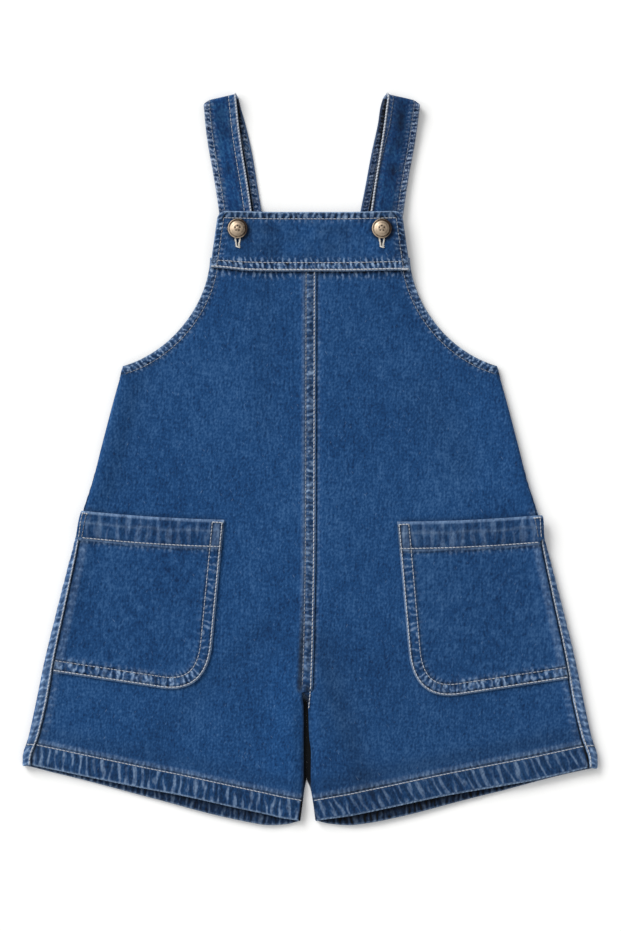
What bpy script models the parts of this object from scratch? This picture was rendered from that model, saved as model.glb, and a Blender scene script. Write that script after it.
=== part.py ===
"""Kids' denim dungarees with short legs, laid flat on the back with the front up.

+X is to the right as seen from above, +Y runs up to the straps and +Z is up from the surface. Every size is
in millimetres and MM turns it into Blender's metres. The front's cloth is described by a place across it,
"out" from the middle, that runs on round the side fold, and by y: the front, the back's side edges and the
pockets all take their points from the same surface.
"""

import math
from collections import namedtuple

import bmesh
import bpy
import numpy as np
from mathutils import Vector

MM = 0.001

# Cloth and clearances
CLOTH = 1.2  # one layer of denim
BAND_CLOTH = 2.0  # the bib band is doubled
STRAP_CLOTH = 1.8  # so are the straps
SEAM_GAP = 0.3
LAY_GAP = 0.4  # under a piece that lies on another
SIDES = {"left": -1, "right": 1}

# The garment's sides below the underarm. half_width: outline from the middle; fold_radius: outside of the
# side fold; seam: how far in from the fold's top the side seam lies, less than 0 where it is over the edge
FRONT_TOP_Y = 161.0
UNDERARM_Y = 74.4
HEM_OUTER_Y = -244.2
HEM_INNER_Y = -289.0
Side = namedtuple("Side", "y half_width fold_radius seam")
SIDE_ROWS = [
    Side(74.4, 149.4, 2.5, -5.2),
    Side(62.0, 153.0, 2.7, -5.6),
    Side(47.0, 157.2, 2.9, -6.0),
    Side(15.0, 165.6, 3.1, -6.3),
    Side(-16.0, 173.6, 3.2, -3.6),
    Side(-47.0, 183.4, 3.2, 0.2),
    Side(-64.0, 188.0, 3.2, 0.9),
    Side(-112.0, 200.4, 3.2, 3.4),
    Side(-160.0, 212.2, 3.2, 4.9),
    Side(-196.0, 219.6, 3.2, 5.9),
    Side(-240.0, 230.2, 3.2, 4.2),
    Side(-246.0, 230.2, 3.2, 3.8),
]

# The middle of the garment: the edge of each front panel, left over right in the lapped seam and apart below
# the crotch, and the edges of the two back panels
CROTCH_Y = -190.0
Middle = namedtuple("Middle", "y left right back_left back_right")
MIDDLE_ROWS = [
    Middle(192.0, 5.2, -4.0, 0.0, 0.3),
    Middle(-60.0, 4.6, -4.4, -0.4, -0.1),
    Middle(-150.0, 3.2, -5.6, -2.0, -1.7),
    Middle(-180.0, 2.2, -6.2, -2.6, -2.3),
    Middle(-191.0, -4.6, -1.2, -2.8, -2.5),
    Middle(-254.0, -4.5, -0.8, -3.0, -2.7),
    Middle(-262.0, -4.9, -0.2, -4.2, -0.7),
    Middle(-274.0, -6.2, 2.6, -5.8, 2.4),
    Middle(-289.0, -8.0, 4.6, -7.7, 4.3),
]
LAP_WIDTH = 9.4
LAP_RISE = 0.6  # the upper edge of the lap stands this much proud
LAP_DUCK = 0.9  # and the lower edge dips this much
LAP_SLOPE = 4.5  # over which the lap rises or dips
LAP_END_Y = -192.0  # it is whole down to here, and gone below the end's length
LAP_END_LENGTH = 12.0

# Armholes, as the four points of a Bezier curve from the bib band to the underarm
ARMHOLE = [(80.0, 161.0), (80.6, 128.0), (108.0, 86.5), (149.4, 74.4)]
BACK_ARMHOLE = [(69.0, 190.0), (71.0, 138.0), (103.0, 83.5), (146.8, 74.4)]
ARM_STEPS = 48

# Heights of the front cloth's upper face: in the middle of the panels and at the armhole's edge
Height = namedtuple("Height", "y middle arm_edge leg_edge")
HEIGHT_ROWS = [
    Height(161.0, 5.4, 4.6, 3.0),
    Height(149.0, 5.4, 4.6, 3.0),
    Height(122.0, 4.6, 3.5, 3.0),
    Height(98.0, 4.4, 3.4, 3.0),
    Height(74.4, 4.3, 5.0, 3.0),
    Height(-60.0, 4.4, 5.0, 3.0),
    Height(-150.0, 4.7, 5.0, 3.0),
    Height(-210.0, 4.9, 5.0, 3.1),
    Height(-272.0, 5.5, 5.0, 4.0),
    Height(-289.0, 5.7, 5.0, 4.2),
]
SIDE_ROLL = 19.0  # how far in the cloth comes down from the side fold
ARM_ROLL = 20.0
LEG_ROLL = 10.0
LEG_ROLL_START = 14.0  # below the crotch, over which the legs' inner edges begin to roll down

# The largest soft folds of the front, each along a line from one point to another
Fold = namedtuple("Fold", "x0 y0 x1 y1 half_width height")
FOLDS = [
    Fold(10.0, -146.0, 46.0, -262.0, 8.0, -1.1),
    Fold(-34.0, -139.0, -120.0, -225.0, 10.0, -0.6),
    Fold(-34.0, 132.0, -32.0, 23.0, 10.0, -0.5),
    Fold(94.0, 47.0, 126.0, -6.0, 13.0, -0.5),
    Fold(-136.0, 56.0, -154.0, -24.0, 11.0, -0.6),
    Fold(138.0, 40.0, 146.0, -20.0, 9.0, 0.5),
    Fold(-20.0, -180.0, -22.0, -250.0, 9.0, 0.6),
]

# Leg hems: both are turned up, and the back one hangs lower than the front one by the drop
HEM_DEPTH = 17.0
HEM_RISE = 0.8
HEM_STEP = 1.6  # over which a hem's second layer rises
Drop = namedtuple("Drop", "share drop")  # share: place across the leg, 0 at the side and 1 at the inside
DROP_ROWS = [
    Drop(0.0, 0.0),
    Drop(0.14, 0.5),
    Drop(0.5, 5.8),
    Drop(0.7, 9.0),
    Drop(0.86, 9.6),
    Drop(0.95, 6.6),
    Drop(1.0, 1.8),
]
DROP_REACH = 70.0

# Bib band
BAND_TOP_Y = 198.4
BAND_FOOT_Y = 150.8
BAND_CORNER = 5.0
Band = namedtuple("Band", "y half_width")
BAND_ROWS = [Band(198.4, 73.4), Band(174.4, 76.8), Band(150.8, 80.2)]
BAND_LIFT = 5.8  # its underside over the straps
BAND_DIP = 1.1  # it is lower than that in the middle
BAND_DIP_OUT = 25.0  # out to here
BAND_DIP_REACH = 15.0  # and rises to the lift over this much
BAND_END_DIP = 0.8  # it dips at its ends too
BAND_END_OUT = 72.0
BAND_END_REACH = 9.0
BAND_RIDGE_OUT = 6.0  # over the centre seam its foot stands up with the lap
BAND_RIDGE_REACH = 8.0
BAND_RIDGE_LENGTH = 12.0
BAND_RAMP_Y = 118.0  # from here up the front's cloth rises to lie under the band
BAND_RAMP_LENGTH = 30.0

# Patch pockets: the straight lines of the side and the foot meet at a corner, which is rounded
Pocket = namedtuple("Pocket", "top_outer_y top_inner top_inner_y corner corner_y foot_outer_y")
POCKETS = {
    "left": Pocket(-41.4, 68.6, -48.6, 82.0, -189.0, -170.4),
    "right": Pocket(-45.0, 69.6, -50.1, 82.3, -194.6, -175.8),
}
POCKET_ROUND_SIDE = 42.0
POCKET_ROUND_FOOT = 38.0
POCKET_STRAIGHT_SHARE = 0.68  # share of the rows beside the straight part of the side
POCKET_CURVE_SHARE = 0.26  # share of the columns over the rounded part of the foot
POCKET_BAND_SHARE = 0.15  # share of the pocket's height that its turned top hem takes
POCKET_BAND_STEP = 0.015
POCKET_BAND_RISE = 0.7
POCKET_BAND_FOOT_Y = -66.0  # at the side
POCKET_BAND_SLOPE = 3.0
POCKET_TOP_REACH = 1.6  # how far over the side fold's top the turned hem goes

# Straps: x of the front and of the back leg of each, outwards from the middle, and the front leg's height
STRAP_WIDTH = 26.0
STRAP_FOLD_Y = 286.18
STRAP_FOLD_RADIUS = 3.4
STRAP_TILT = 13.0  # degrees, at the fold
Strap = namedtuple("Strap", "y left_front left_back right_front right_back height")
STRAP_ROWS = [
    Strap(288.0, 72.0, 71.4, 75.0, 74.4, 6.8),
    Strap(267.2, 70.0, 64.9, 72.3, 67.4, 5.2),
    Strap(242.4, 66.6, 59.2, 68.6, 62.0, 4.4),
    Strap(215.2, 62.2, 54.7, 64.2, 57.0, 4.7),
    Strap(199.2, 59.9, 52.1, 61.9, 53.8, 5.4),
    Strap(184.2, 57.8, 49.6, 59.2, 51.0, 5.4),
    Strap(167.0, 55.4, 46.8, 56.4, 48.0, 5.4),
]
STRAP_FRONT_END = 168.0
STRAP_BACK_END = 173.0
STRAP_STEP_Y = 206.0  # below this the back leg climbs onto the back's top edge
STRAP_STEP_LENGTH = 12.0
STRAP_TURN_LENGTH = 22.0  # how far from the fold the strap turns into its tilt
STRAP_LEAN_REACH = 2.0  # its lean is read between points this far to each side

# Buttons and their keyhole buttonholes
BUTTON_Y = 184.2
BUTTON_X = {"left": -57.8, "right": 57.4}
NECK_RADIUS = 2.0
NECK_RISE = 0.6  # how far the neck goes up into the cap
Ring = namedtuple("Ring", "radius height")  # the cap, from its underside over the rim to the boss
CAP_RINGS = [
    Ring(6.7, 0.0),
    Ring(7.9, 0.7),
    Ring(7.9, 1.5),
    Ring(7.1, 2.1),
    Ring(6.1, 1.8),
    Ring(5.1, 2.4),
    Ring(3.3, 3.1),
    Ring(2.3, 3.2),
    Ring(1.9, 3.6),
    Ring(0.0, 3.7),
]
BUTTON_CLEARANCE = 0.3
BUTTON_TURNS = 20
EYE_RADIUS = 2.5
EYE_STEPS = 20
SLOT_WIDTH = 1.6
SLOT_LENGTH = 14.6
CUTTER_FOOT_Z = 2.0
CUTTER_HEIGHT = 10.0


def read(table, column, at):
    """A table's column at the given places: a smooth line through its rows that never overshoots them."""
    rows = sorted(table)
    places = np.array([row[0] for row in rows])
    values = np.array([getattr(row, column) for row in rows])
    step = np.diff(places)
    rise = np.diff(values) / step
    slope = np.zeros(len(places))
    same_way = rise[:-1] * rise[1:] > 0
    total = np.where(same_way, rise[:-1] + rise[1:], 1.0)
    slope[1:-1] = np.where(same_way, 2 * rise[:-1] * rise[1:] / total, 0.0)
    slope[0] = rise[0]
    slope[-1] = rise[-1]
    at = np.clip(at, places[0], places[-1])
    row = np.clip(np.searchsorted(places, at) - 1, 0, len(step) - 1)
    t = (at - places[row]) / step[row]
    start = values[row] * (1 + 2 * t) * (1 - t) ** 2 + slope[row] * step[row] * t * (1 - t) ** 2
    end = values[row + 1] * t * t * (3 - 2 * t) + slope[row + 1] * step[row] * t * t * (t - 1)
    return start + end


def ease(t):
    """0 to 1, level at both ends."""
    t = np.clip(t, 0.0, 1.0)
    return t * t * (3 - 2 * t)


def bezier(points, t):
    """A point, or points, of a cubic Bezier curve."""
    weights = ((1 - t) ** 3, 3 * t * (1 - t) ** 2, 3 * t * t * (1 - t), t**3)
    return [sum(w * point[axis] for w, point in zip(weights, points)) for axis in (0, 1)]


def armhole_out(curve, y):
    """How far out the armhole's edge is at the given y."""
    out, height = bezier(curve, np.linspace(0.0, 1.0, ARM_STEPS + 1))
    return np.interp(y, height[::-1], out[::-1])


def distance_to_line(x, y, x0, y0, x1, y1):
    """Distance from points to a straight line between two ends."""
    along = ((x - x0) * (x1 - x0) + (y - y0) * (y1 - y0)) / ((x1 - x0) ** 2 + (y1 - y0) ** 2)
    along = np.clip(along, 0.0, 1.0)
    return np.hypot(x - x0 - along * (x1 - x0), y - y0 - along * (y1 - y0))


def distance_to_armhole(out, y):
    """Distance from points of the front to the armhole's edge."""
    edge_out, edge_y = bezier(ARMHOLE, np.linspace(0.0, 1.0, ARM_STEPS + 1))
    nearest = np.full(np.shape(out), np.inf)
    for k in range(ARM_STEPS):
        line = distance_to_line(out, y, edge_out[k], edge_y[k], edge_out[k + 1], edge_y[k + 1])
        nearest = np.minimum(nearest, line)
    return nearest


def fold_top(y):
    """How far out the top of the side fold is; at the armhole, its edge."""
    side = read(SIDE_ROWS, "half_width", y) - read(SIDE_ROWS, "fold_radius", y)
    return np.where(y > UNDERARM_Y, armhole_out(ARMHOLE, y), side)


def middle_edge(side, column, y):
    """How far out a panel's edge at the middle is, less than 0 where it is over on the other side."""
    return SIDES[side] * read(MIDDLE_ROWS, column, y)


def band_underside(x, y):
    """Height of the bib band's underside."""
    out = abs(x)
    ends = ease((out - BAND_END_OUT) / BAND_END_REACH)
    centre = 1 - ease((out - BAND_DIP_OUT) / BAND_DIP_REACH)
    over_seam = 1 - ease((out - BAND_RIDGE_OUT) / BAND_RIDGE_REACH)
    over_seam = over_seam * (1 - ease((y - FRONT_TOP_Y) / BAND_RIDGE_LENGTH))
    return BAND_LIFT - BAND_DIP * centre - BAND_END_DIP * ends + LAP_RISE * over_seam


def front_height(x, y):
    """Height of the front cloth's upper face, without the lap and the hem."""
    out = abs(x)
    base = read(HEIGHT_ROWS, "middle", y)
    under_band = ease((y - BAND_RAMP_Y) / BAND_RAMP_LENGTH)
    base = base + under_band * (band_underside(x, BAND_TOP_Y) - LAY_GAP - base)
    for fold in FOLDS:
        away = distance_to_line(x, y, fold.x0, fold.y0, fold.x1, fold.y1)
        base = base + fold.height * np.exp(-((away / fold.half_width) ** 2))
    from_side = np.where(y > UNDERARM_Y, 1.0, ease((fold_top(y) - out) / SIDE_ROLL))
    from_arm = ease(distance_to_armhole(out, y) / ARM_ROLL)
    fold_height = 2 * read(SIDE_ROWS, "fold_radius", y)
    height = fold_height + (base - fold_height) * from_side
    arm_height = np.where(y > UNDERARM_Y, read(HEIGHT_ROWS, "arm_edge", y), height)
    height = arm_height + (height - arm_height) * from_arm
    inside = np.where(x < 0, middle_edge("left", "left", y), middle_edge("right", "right", y))
    leg_roll = (1 - ease((out - inside) / LEG_ROLL)) * ease((CROTCH_Y - y) / LEG_ROLL_START)
    return height + (read(HEIGHT_ROWS, "leg_edge", y) - height) * leg_roll


def body_point(side, out, y, lift):
    """A point at a distance above the cloth's outer face, which runs on round the side fold."""
    top = fold_top(y)
    radius = read(SIDE_ROWS, "fold_radius", y)
    over = np.where(y > UNDERARM_Y, 0.0, out - top)
    angle = np.clip(over / radius, 0.0, math.pi)
    flat_out = np.minimum(out, top)
    under = np.clip(over - math.pi * radius, 0.0, None)
    x = flat_out + (radius + lift) * np.sin(angle) - under
    level = front_height(SIDES[side] * flat_out, y) + lift
    z = np.where(over > 0, radius + (radius + lift) * np.cos(angle), level)
    return np.stack([SIDES[side] * x, y, z], axis=-1)


def steps(column, count, width, near, far):
    """Distances across a width: set ones near both edges and even ones between."""
    first = len(near) - 1
    last = count - len(far) + 1
    between = near[-1] + (width - far[-1] - near[-1]) * (column - first) / (last - first)
    for k, distance in enumerate(near):
        between = np.where(column == k, distance, between)
    for k, distance in enumerate(far):
        between = np.where(column == count - k, width - distance, between)
    return between


def denim(name, colour):
    material = bpy.data.materials.new(name)
    material.use_nodes = True
    shader = material.node_tree.nodes["Principled BSDF"]
    shader.inputs["Base Color"].default_value = (*colour, 1.0)
    shader.inputs["Roughness"].default_value = 0.9
    return material


def brass(name):
    material = bpy.data.materials.new(name)
    material.use_nodes = True
    shader = material.node_tree.nodes["Principled BSDF"]
    shader.inputs["Base Color"].default_value = (0.30, 0.21, 0.13, 1.0)
    shader.inputs["Metallic"].default_value = 1.0
    shader.inputs["Roughness"].default_value = 0.42
    return material


def finish(name, mesh, material):
    """A bmesh becomes a named object with its faces pointing out."""
    bmesh.ops.recalc_face_normals(mesh, faces=mesh.faces[:])
    data = bpy.data.meshes.new(name)
    mesh.to_mesh(data)
    mesh.free()
    data.materials.append(material)
    made = bpy.data.objects.new(name, data)
    bpy.context.scene.collection.objects.link(made)
    data.shade_smooth()
    data.set_sharp_from_angle(angle=math.radians(40.0))
    return made


def cloth_wall(name, columns, rows, place, material):
    """A closed wall: a grid that place(column, row, is_upper) lays out as the wall's lower and upper face."""
    mesh = bmesh.new()
    bmesh.ops.create_grid(mesh, x_segments=columns, y_segments=rows, size=1.0)
    lower = list(mesh.verts)
    extruded = bmesh.ops.extrude_face_region(mesh, geom=mesh.faces[:])
    upper = [item for item in extruded["geom"] if isinstance(item, bmesh.types.BMVert)]
    for verts, is_upper in ((lower, False), (upper, True)):
        spots = np.array([vert.co[:] for vert in verts])
        column = np.rint((spots[:, 0] + 1) / 2 * columns)
        row = np.rint((1 - spots[:, 1]) / 2 * rows)
        points = place(column, row, is_upper)
        for vert, point in zip(verts, points):
            vert.co = Vector(point) * MM
    return finish(name, mesh, material)


# Rows of the panels by the y at the middle; the outer end of a row is less far down, so that rows follow
# the hem's slant
ARM_ROW_YS = [FRONT_TOP_Y, 155.0, 148.0, 138.0, 128.0, 118.0, 108.5, 100.0, 92.5, 86.0, 80.5, 77.0]
HIP_ROW_YS = [74.4, 69.0, 60.0, 48.0, 34.0, 20.0, 10.0, 1.0, -8.0, -17.0, -26.0, -35.0, -43.0, -50.0, -57.0]
THIGH_ROW_YS = [-69.0, -84.0, -100.0, -116.0, -132.0, -147.0, -161.0, -172.0]
LEG_ROW_YS = [-180.0, -184.5, -188.0, -191.5, -198.0, -208.0, -220.0, -233.0, -245.0, -256.0, -264.0]
SIDE_ROW_YS = HIP_ROW_YS + THIGH_ROW_YS + LEG_ROW_YS
HEM_ROW_DEPTHS = [HEM_DEPTH + HEM_STEP / 2, HEM_DEPTH - HEM_STEP / 2, 11.0, 5.0, 0.0]
FRONT_ROW_YS = ARM_ROW_YS + SIDE_ROW_YS + [HEM_INNER_Y + depth for depth in HEM_ROW_DEPTHS]
BACK_ROW_YS = SIDE_ROW_YS + [HEM_INNER_Y + depth for depth in HEM_ROW_DEPTHS]
ROW_SLANT = (UNDERARM_Y - HEM_OUTER_Y) / (UNDERARM_Y - HEM_INNER_Y)


def outer_y(inner_y):
    """The y of a row's outer end."""
    return np.where(inner_y > UNDERARM_Y, inner_y, UNDERARM_Y + (inner_y - UNDERARM_Y) * ROW_SLANT)


def hem_rise(inner_y):
    """How much a leg hem's second layer adds to a row."""
    return HEM_RISE * (1 - ease((inner_y - HEM_INNER_Y - HEM_DEPTH + HEM_STEP / 2) / HEM_STEP))


def front_panel(side, material):
    """Half of the front, from under the bib band to the leg hem, round the side fold to the side seam."""
    near = [0.0, 2.4, LAP_WIDTH, LAP_WIDTH + LAP_SLOPE]
    far = [0.0, 2.1, 4.3, 6.5, 10.0, 16.0, 24.0]
    columns = 17

    def place(column, row, is_upper):
        inner = np.array(FRONT_ROW_YS)[row.astype(int)]
        outer = outer_y(inner)
        edge = middle_edge(side, side, inner)
        seam = np.where(outer > UNDERARM_Y, 0.0, read(SIDE_ROWS, "seam", outer))
        width = fold_top(outer) - seam - edge - SEAM_GAP / 2 * (outer <= UNDERARM_Y)
        across = steps(column, columns, width, near, far)
        y = inner + (outer - inner) * across / width
        lap = 1 - ease((across - LAP_WIDTH) / LAP_SLOPE)
        lap = lap * (1 - ease((LAP_END_Y - inner) / LAP_END_LENGTH))
        lift = lap * (LAP_RISE if side == "left" else -LAP_DUCK)
        lift = lift + (hem_rise(inner) if is_upper else -CLOTH)
        return body_point(side, edge + across, y, lift)

    return cloth_wall("front_panel_" + side, columns, len(FRONT_ROW_YS) - 1, place, material)


def back_panel(side, material):
    """Half of the back: flat on the surface, and up round the side fold to the side seam."""
    near = [0.0, 6.0]
    far = [0.0, 2.2, 4.4, 6.6, 8.8, 11.0, 13.2, 16.0]
    columns = 14
    bodice = [190.0, 175.0, 160.0, 145.0, 131.0, 118.0, 106.0, 96.5, 88.5, 82.0, 77.0]
    row_ys = np.array(bodice + BACK_ROW_YS)

    def place(column, row, is_upper):
        inner = row_ys[row.astype(int)]
        outer = outer_y(inner)
        edge = middle_edge(side, "back_" + side, inner)
        below_arm = outer <= UNDERARM_Y
        flat = fold_top(outer)
        turn = read(SIDE_ROWS, "fold_radius", outer) * math.pi
        round_width = flat + turn + read(SIDE_ROWS, "seam", outer) - SEAM_GAP / 2
        width = np.where(below_arm, round_width, armhole_out(BACK_ARMHOLE, inner)) - edge
        across = steps(column, columns, width, near, far)
        out = edge + across
        share = across / width
        drop = read(DROP_ROWS, "drop", 1 - share)
        drop = drop * ease((HEM_INNER_Y + DROP_REACH - inner) / DROP_REACH)
        y = inner + (outer - inner) * share - drop
        z = CLOTH + hem_rise(inner) if is_upper else np.zeros(len(inner))
        flat_point = np.stack([SIDES[side] * out, y, z], axis=-1)
        round_point = body_point(side, 2 * flat + turn - out, y, -CLOTH if is_upper else 0.0)
        goes_round = below_arm & (out > flat)
        return np.where(goes_round[:, None], round_point, flat_point)

    return cloth_wall("back_panel_" + side, columns, len(row_ys) - 1, place, material)


def bib_band(material):
    """The doubled band across the top of the front, with rounded upper corners and two buttonholes."""
    depths = [0.0, 0.5, 1.5, 3.0, BAND_CORNER, 13.0, 22.0, 30.0, 37.0, 42.6, BAND_TOP_Y - BAND_FOOT_Y]
    near = [0.0, 3.5, 8.0]
    columns = 24

    def place(column, row, is_upper):
        depth = np.array(depths)[row.astype(int)]
        y = BAND_TOP_Y - depth
        rounding = BAND_CORNER - np.sqrt(BAND_CORNER**2 - np.clip(BAND_CORNER - depth, 0.0, None) ** 2)
        half = read(BAND_ROWS, "half_width", y) - rounding
        x = steps(column, columns, 2 * half, near, near) - half
        z = band_underside(x, y) + (BAND_CLOTH if is_upper else 0.0)
        return np.stack([x, y, z], axis=-1)

    band = cloth_wall("bib_band", columns, len(depths) - 1, place, material)
    for side in SIDES:
        cut = band.modifiers.new("buttonhole_" + side, "BOOLEAN")
        cut.operation = "DIFFERENCE"
        cut.object = buttonhole_cutter(side)
    return band


def buttonhole_cutter(side):
    """A keyhole: a round eye at the button and a narrow slot down from it."""
    eye_reach = math.asin(SLOT_WIDTH / 2 / EYE_RADIUS)
    mesh = bmesh.new()
    outline = []
    for k in range(EYE_STEPS + 1):
        angle = -math.pi / 2 + eye_reach + (2 * math.pi - 2 * eye_reach) * k / EYE_STEPS
        outline.append((EYE_RADIUS * math.cos(angle), EYE_RADIUS * math.sin(angle)))
    outline.append((-SLOT_WIDTH / 2, -SLOT_LENGTH))
    outline.append((SLOT_WIDTH / 2, -SLOT_LENGTH))
    verts = []
    for across, up in outline:
        spot = Vector((BUTTON_X[side] + across, BUTTON_Y + up, CUTTER_FOOT_Z))
        verts.append(mesh.verts.new(spot * MM))
    face = mesh.faces.new(verts)
    top = bmesh.ops.extrude_face_region(mesh, geom=[face])
    raised = [item for item in top["geom"] if isinstance(item, bmesh.types.BMVert)]
    bmesh.ops.translate(mesh, verts=raised, vec=(0.0, 0.0, CUTTER_HEIGHT * MM))
    cutter = finish("buttonhole_cutter_" + side, mesh, None)
    cutter.hide_render = True
    cutter.display_type = "WIRE"
    return cutter


def pocket(side, material):
    """A patch pocket, laid on the front with one edge in the side seam."""
    shape = POCKETS[side]
    column_shares = np.array([0.0, 0.06, 0.15, 0.26, 0.38, 0.50, 0.62, 0.73, 0.83, 0.91, 0.955, 0.98, 1.0])
    row_shares = np.array([0.0, 0.08, 0.15, 0.165, 0.26, 0.37, 0.48, 0.58, 0.68, 0.78, 0.87, 0.94, 1.0])
    corner = np.array([shape.corner, shape.corner_y])
    top_inner = np.array([shape.top_inner, shape.top_inner_y])
    foot_outer = np.array([seam_out(shape.foot_outer_y), shape.foot_outer_y])
    up = (top_inner - corner) / np.linalg.norm(top_inner - corner)
    away = (foot_outer - corner) / np.linalg.norm(foot_outer - corner)
    round_top = corner + up * POCKET_ROUND_SIDE
    round_foot = corner + away * POCKET_ROUND_FOOT

    def rounded(t):
        start = np.outer((1 - t) ** 2, round_top)
        end = np.outer(t * t, round_foot)
        return start + np.outer(2 * t * (1 - t), corner) + end

    def inner_edge(v):
        straight = POCKET_STRAIGHT_SHARE
        t = np.clip((v - straight) / (1 - straight), 0.0, 1.0) / 2
        line = top_inner + np.outer(np.clip(v / straight, 0.0, 1.0), round_top - top_inner)
        return np.where((v < straight)[:, None], line, rounded(t))

    def foot_edge(u):
        curve = POCKET_CURVE_SHARE
        t = 0.5 + np.clip(u / curve, 0.0, 1.0) / 2
        line = round_foot + np.outer((u - curve) / (1 - curve), foot_outer - round_foot)
        return np.where((u > curve)[:, None], line, rounded(t))

    def outer_edge(v):
        y = shape.top_outer_y + (shape.foot_outer_y - shape.top_outer_y) * v
        return np.stack([seam_out(y), y], axis=-1)

    def place(column, row, is_upper):
        u = column_shares[column.astype(int)]
        v = row_shares[row.astype(int)]
        top_outer = outer_edge(np.zeros(1))[0]
        top = top_inner + np.outer(u, top_outer - top_inner)
        foot = foot_edge(u)
        sides = inner_edge(v) * (1 - u)[:, None] + outer_edge(v) * u[:, None]
        ends = top * (1 - v)[:, None] + foot * v[:, None]
        low_corner = rounded(np.array([0.5]))[0]
        corners = np.outer((1 - u) * (1 - v), top_inner) + np.outer(u * (1 - v), top_outer)
        corners = corners + np.outer((1 - u) * v, low_corner) + np.outer(u * v, foot_outer)
        spot = sides + ends - corners
        band = 1 - ease((v - POCKET_BAND_SHARE) / POCKET_BAND_STEP)
        lift = LAY_GAP + ((CLOTH + POCKET_BAND_RISE * band) if is_upper else 0.0)
        return body_point(side, spot[:, 0], spot[:, 1], lift)

    return cloth_wall("pocket_" + side, len(column_shares) - 1, len(row_shares) - 1, place, material)


def seam_out(y):
    """How far out a pocket reaches: to the side seam, or round the fold where the seam is over the edge."""
    seam = np.clip(read(SIDE_ROWS, "seam", y), 0.0, None)
    at_band = ease((y - POCKET_BAND_FOOT_Y) / POCKET_BAND_SLOPE)
    return fold_top(y) - (seam + SEAM_GAP) * (1 - at_band) + POCKET_TOP_REACH * at_band


def strap(side, material):
    """One strip: from the back's top edge up to a soft fold and down to the button under the bib."""
    leg_steps = 10
    fold_steps = 8
    rows = 2 * leg_steps + fold_steps
    columns = 2

    def leg(y, end):
        x = SIDES[side] * read(STRAP_ROWS, side + "_" + end, y)
        below = SIDES[side] * read(STRAP_ROWS, side + "_" + end, y - STRAP_LEAN_REACH)
        above = SIDES[side] * read(STRAP_ROWS, side + "_" + end, y + STRAP_LEAN_REACH)
        lean = np.arctan2(below - above, 2 * STRAP_LEAN_REACH)
        full = math.radians(STRAP_TILT) * -SIDES[side]
        near_fold = ease((y - STRAP_FOLD_Y + STRAP_TURN_LENGTH) / STRAP_TURN_LENGTH)
        return x, lean + (full - lean) * near_fold

    def place(column, row, is_upper):
        back_share = np.clip(row / leg_steps, 0.0, 1.0)
        back_y = STRAP_BACK_END + (STRAP_FOLD_Y - STRAP_BACK_END) * back_share
        front_share = np.clip((row - leg_steps - fold_steps) / leg_steps, 0.0, 1.0)
        front_y = STRAP_FOLD_Y + (STRAP_FRONT_END - STRAP_FOLD_Y) * front_share
        angle = math.pi * np.clip((row - leg_steps) / fold_steps, 0.0, 1.0)
        back_x, back_lean = leg(back_y, "back")
        front_x, front_lean = leg(front_y, "front")
        turned = angle / math.pi
        x = back_x + (front_x - back_x) * turned
        y = np.where(turned > 0, front_y, back_y)
        lean = back_lean + (front_lean - back_lean) * turned
        depth = 0.0 if is_upper else STRAP_CLOTH
        reach = (STRAP_FOLD_RADIUS - depth) * np.sin(angle)
        floor = (CLOTH + SEAM_GAP) * ease((STRAP_STEP_Y - back_y) / STRAP_STEP_LENGTH)
        low = floor + depth
        high = read(STRAP_ROWS, "height", front_y) - depth
        z = low + (high - low) * (1 - np.cos(angle)) / 2
        across = (column / columns - 0.5) * STRAP_WIDTH
        x = x + across * np.cos(lean) - reach * np.sin(lean)
        y = y + across * np.sin(lean) + reach * np.cos(lean)
        return np.stack([x, y, z], axis=-1)

    return cloth_wall("strap_" + side, columns, rows, place, material)


def button(side, material):
    """A shank button: a domed cap with a rim and a small boss, on a neck down to the strap."""
    foot = read(STRAP_ROWS, "height", BUTTON_Y) + BUTTON_CLEARANCE
    base = band_underside(BUTTON_X[side], BUTTON_Y) + BAND_CLOTH + BUTTON_CLEARANCE
    profile = [(0.0, foot), (NECK_RADIUS, foot), (NECK_RADIUS, base + NECK_RISE)]
    profile += [(ring.radius, base + ring.height) for ring in CAP_RINGS]
    mesh = bmesh.new()
    points = [mesh.verts.new(Vector((radius, 0.0, z)) * MM) for radius, z in profile]
    edges = [mesh.edges.new(pair) for pair in zip(points, points[1:])]
    bmesh.ops.spin(
        mesh,
        geom=points + edges,
        cent=(0.0, 0.0, 0.0),
        axis=(0.0, 0.0, 1.0),
        angle=2 * math.pi,
        steps=BUTTON_TURNS,
        use_merge=True,
    )
    bmesh.ops.remove_doubles(mesh, verts=mesh.verts[:], dist=0.01 * MM)
    made = finish("button_" + side, mesh, material)
    made.location = Vector((BUTTON_X[side], BUTTON_Y, 0.0)) * MM
    return made


for thing in list(bpy.data.objects):
    bpy.data.objects.remove(thing)

body_denim = denim("blue denim", (0.019, 0.067, 0.184))
strap_denim = denim("strap denim", (0.022, 0.073, 0.190))
aged_brass = brass("antique brass")

for side in SIDES:
    back_panel(side, body_denim)
    front_panel(side, body_denim)
    pocket(side, body_denim)
    strap(side, strap_denim)
bib_band(body_denim)
for side in SIDES:
    button(side, aged_brass)
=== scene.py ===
import math
from collections import namedtuple

import bmesh
import bpy
import numpy as np
from mathutils import Matrix, Vector


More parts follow.
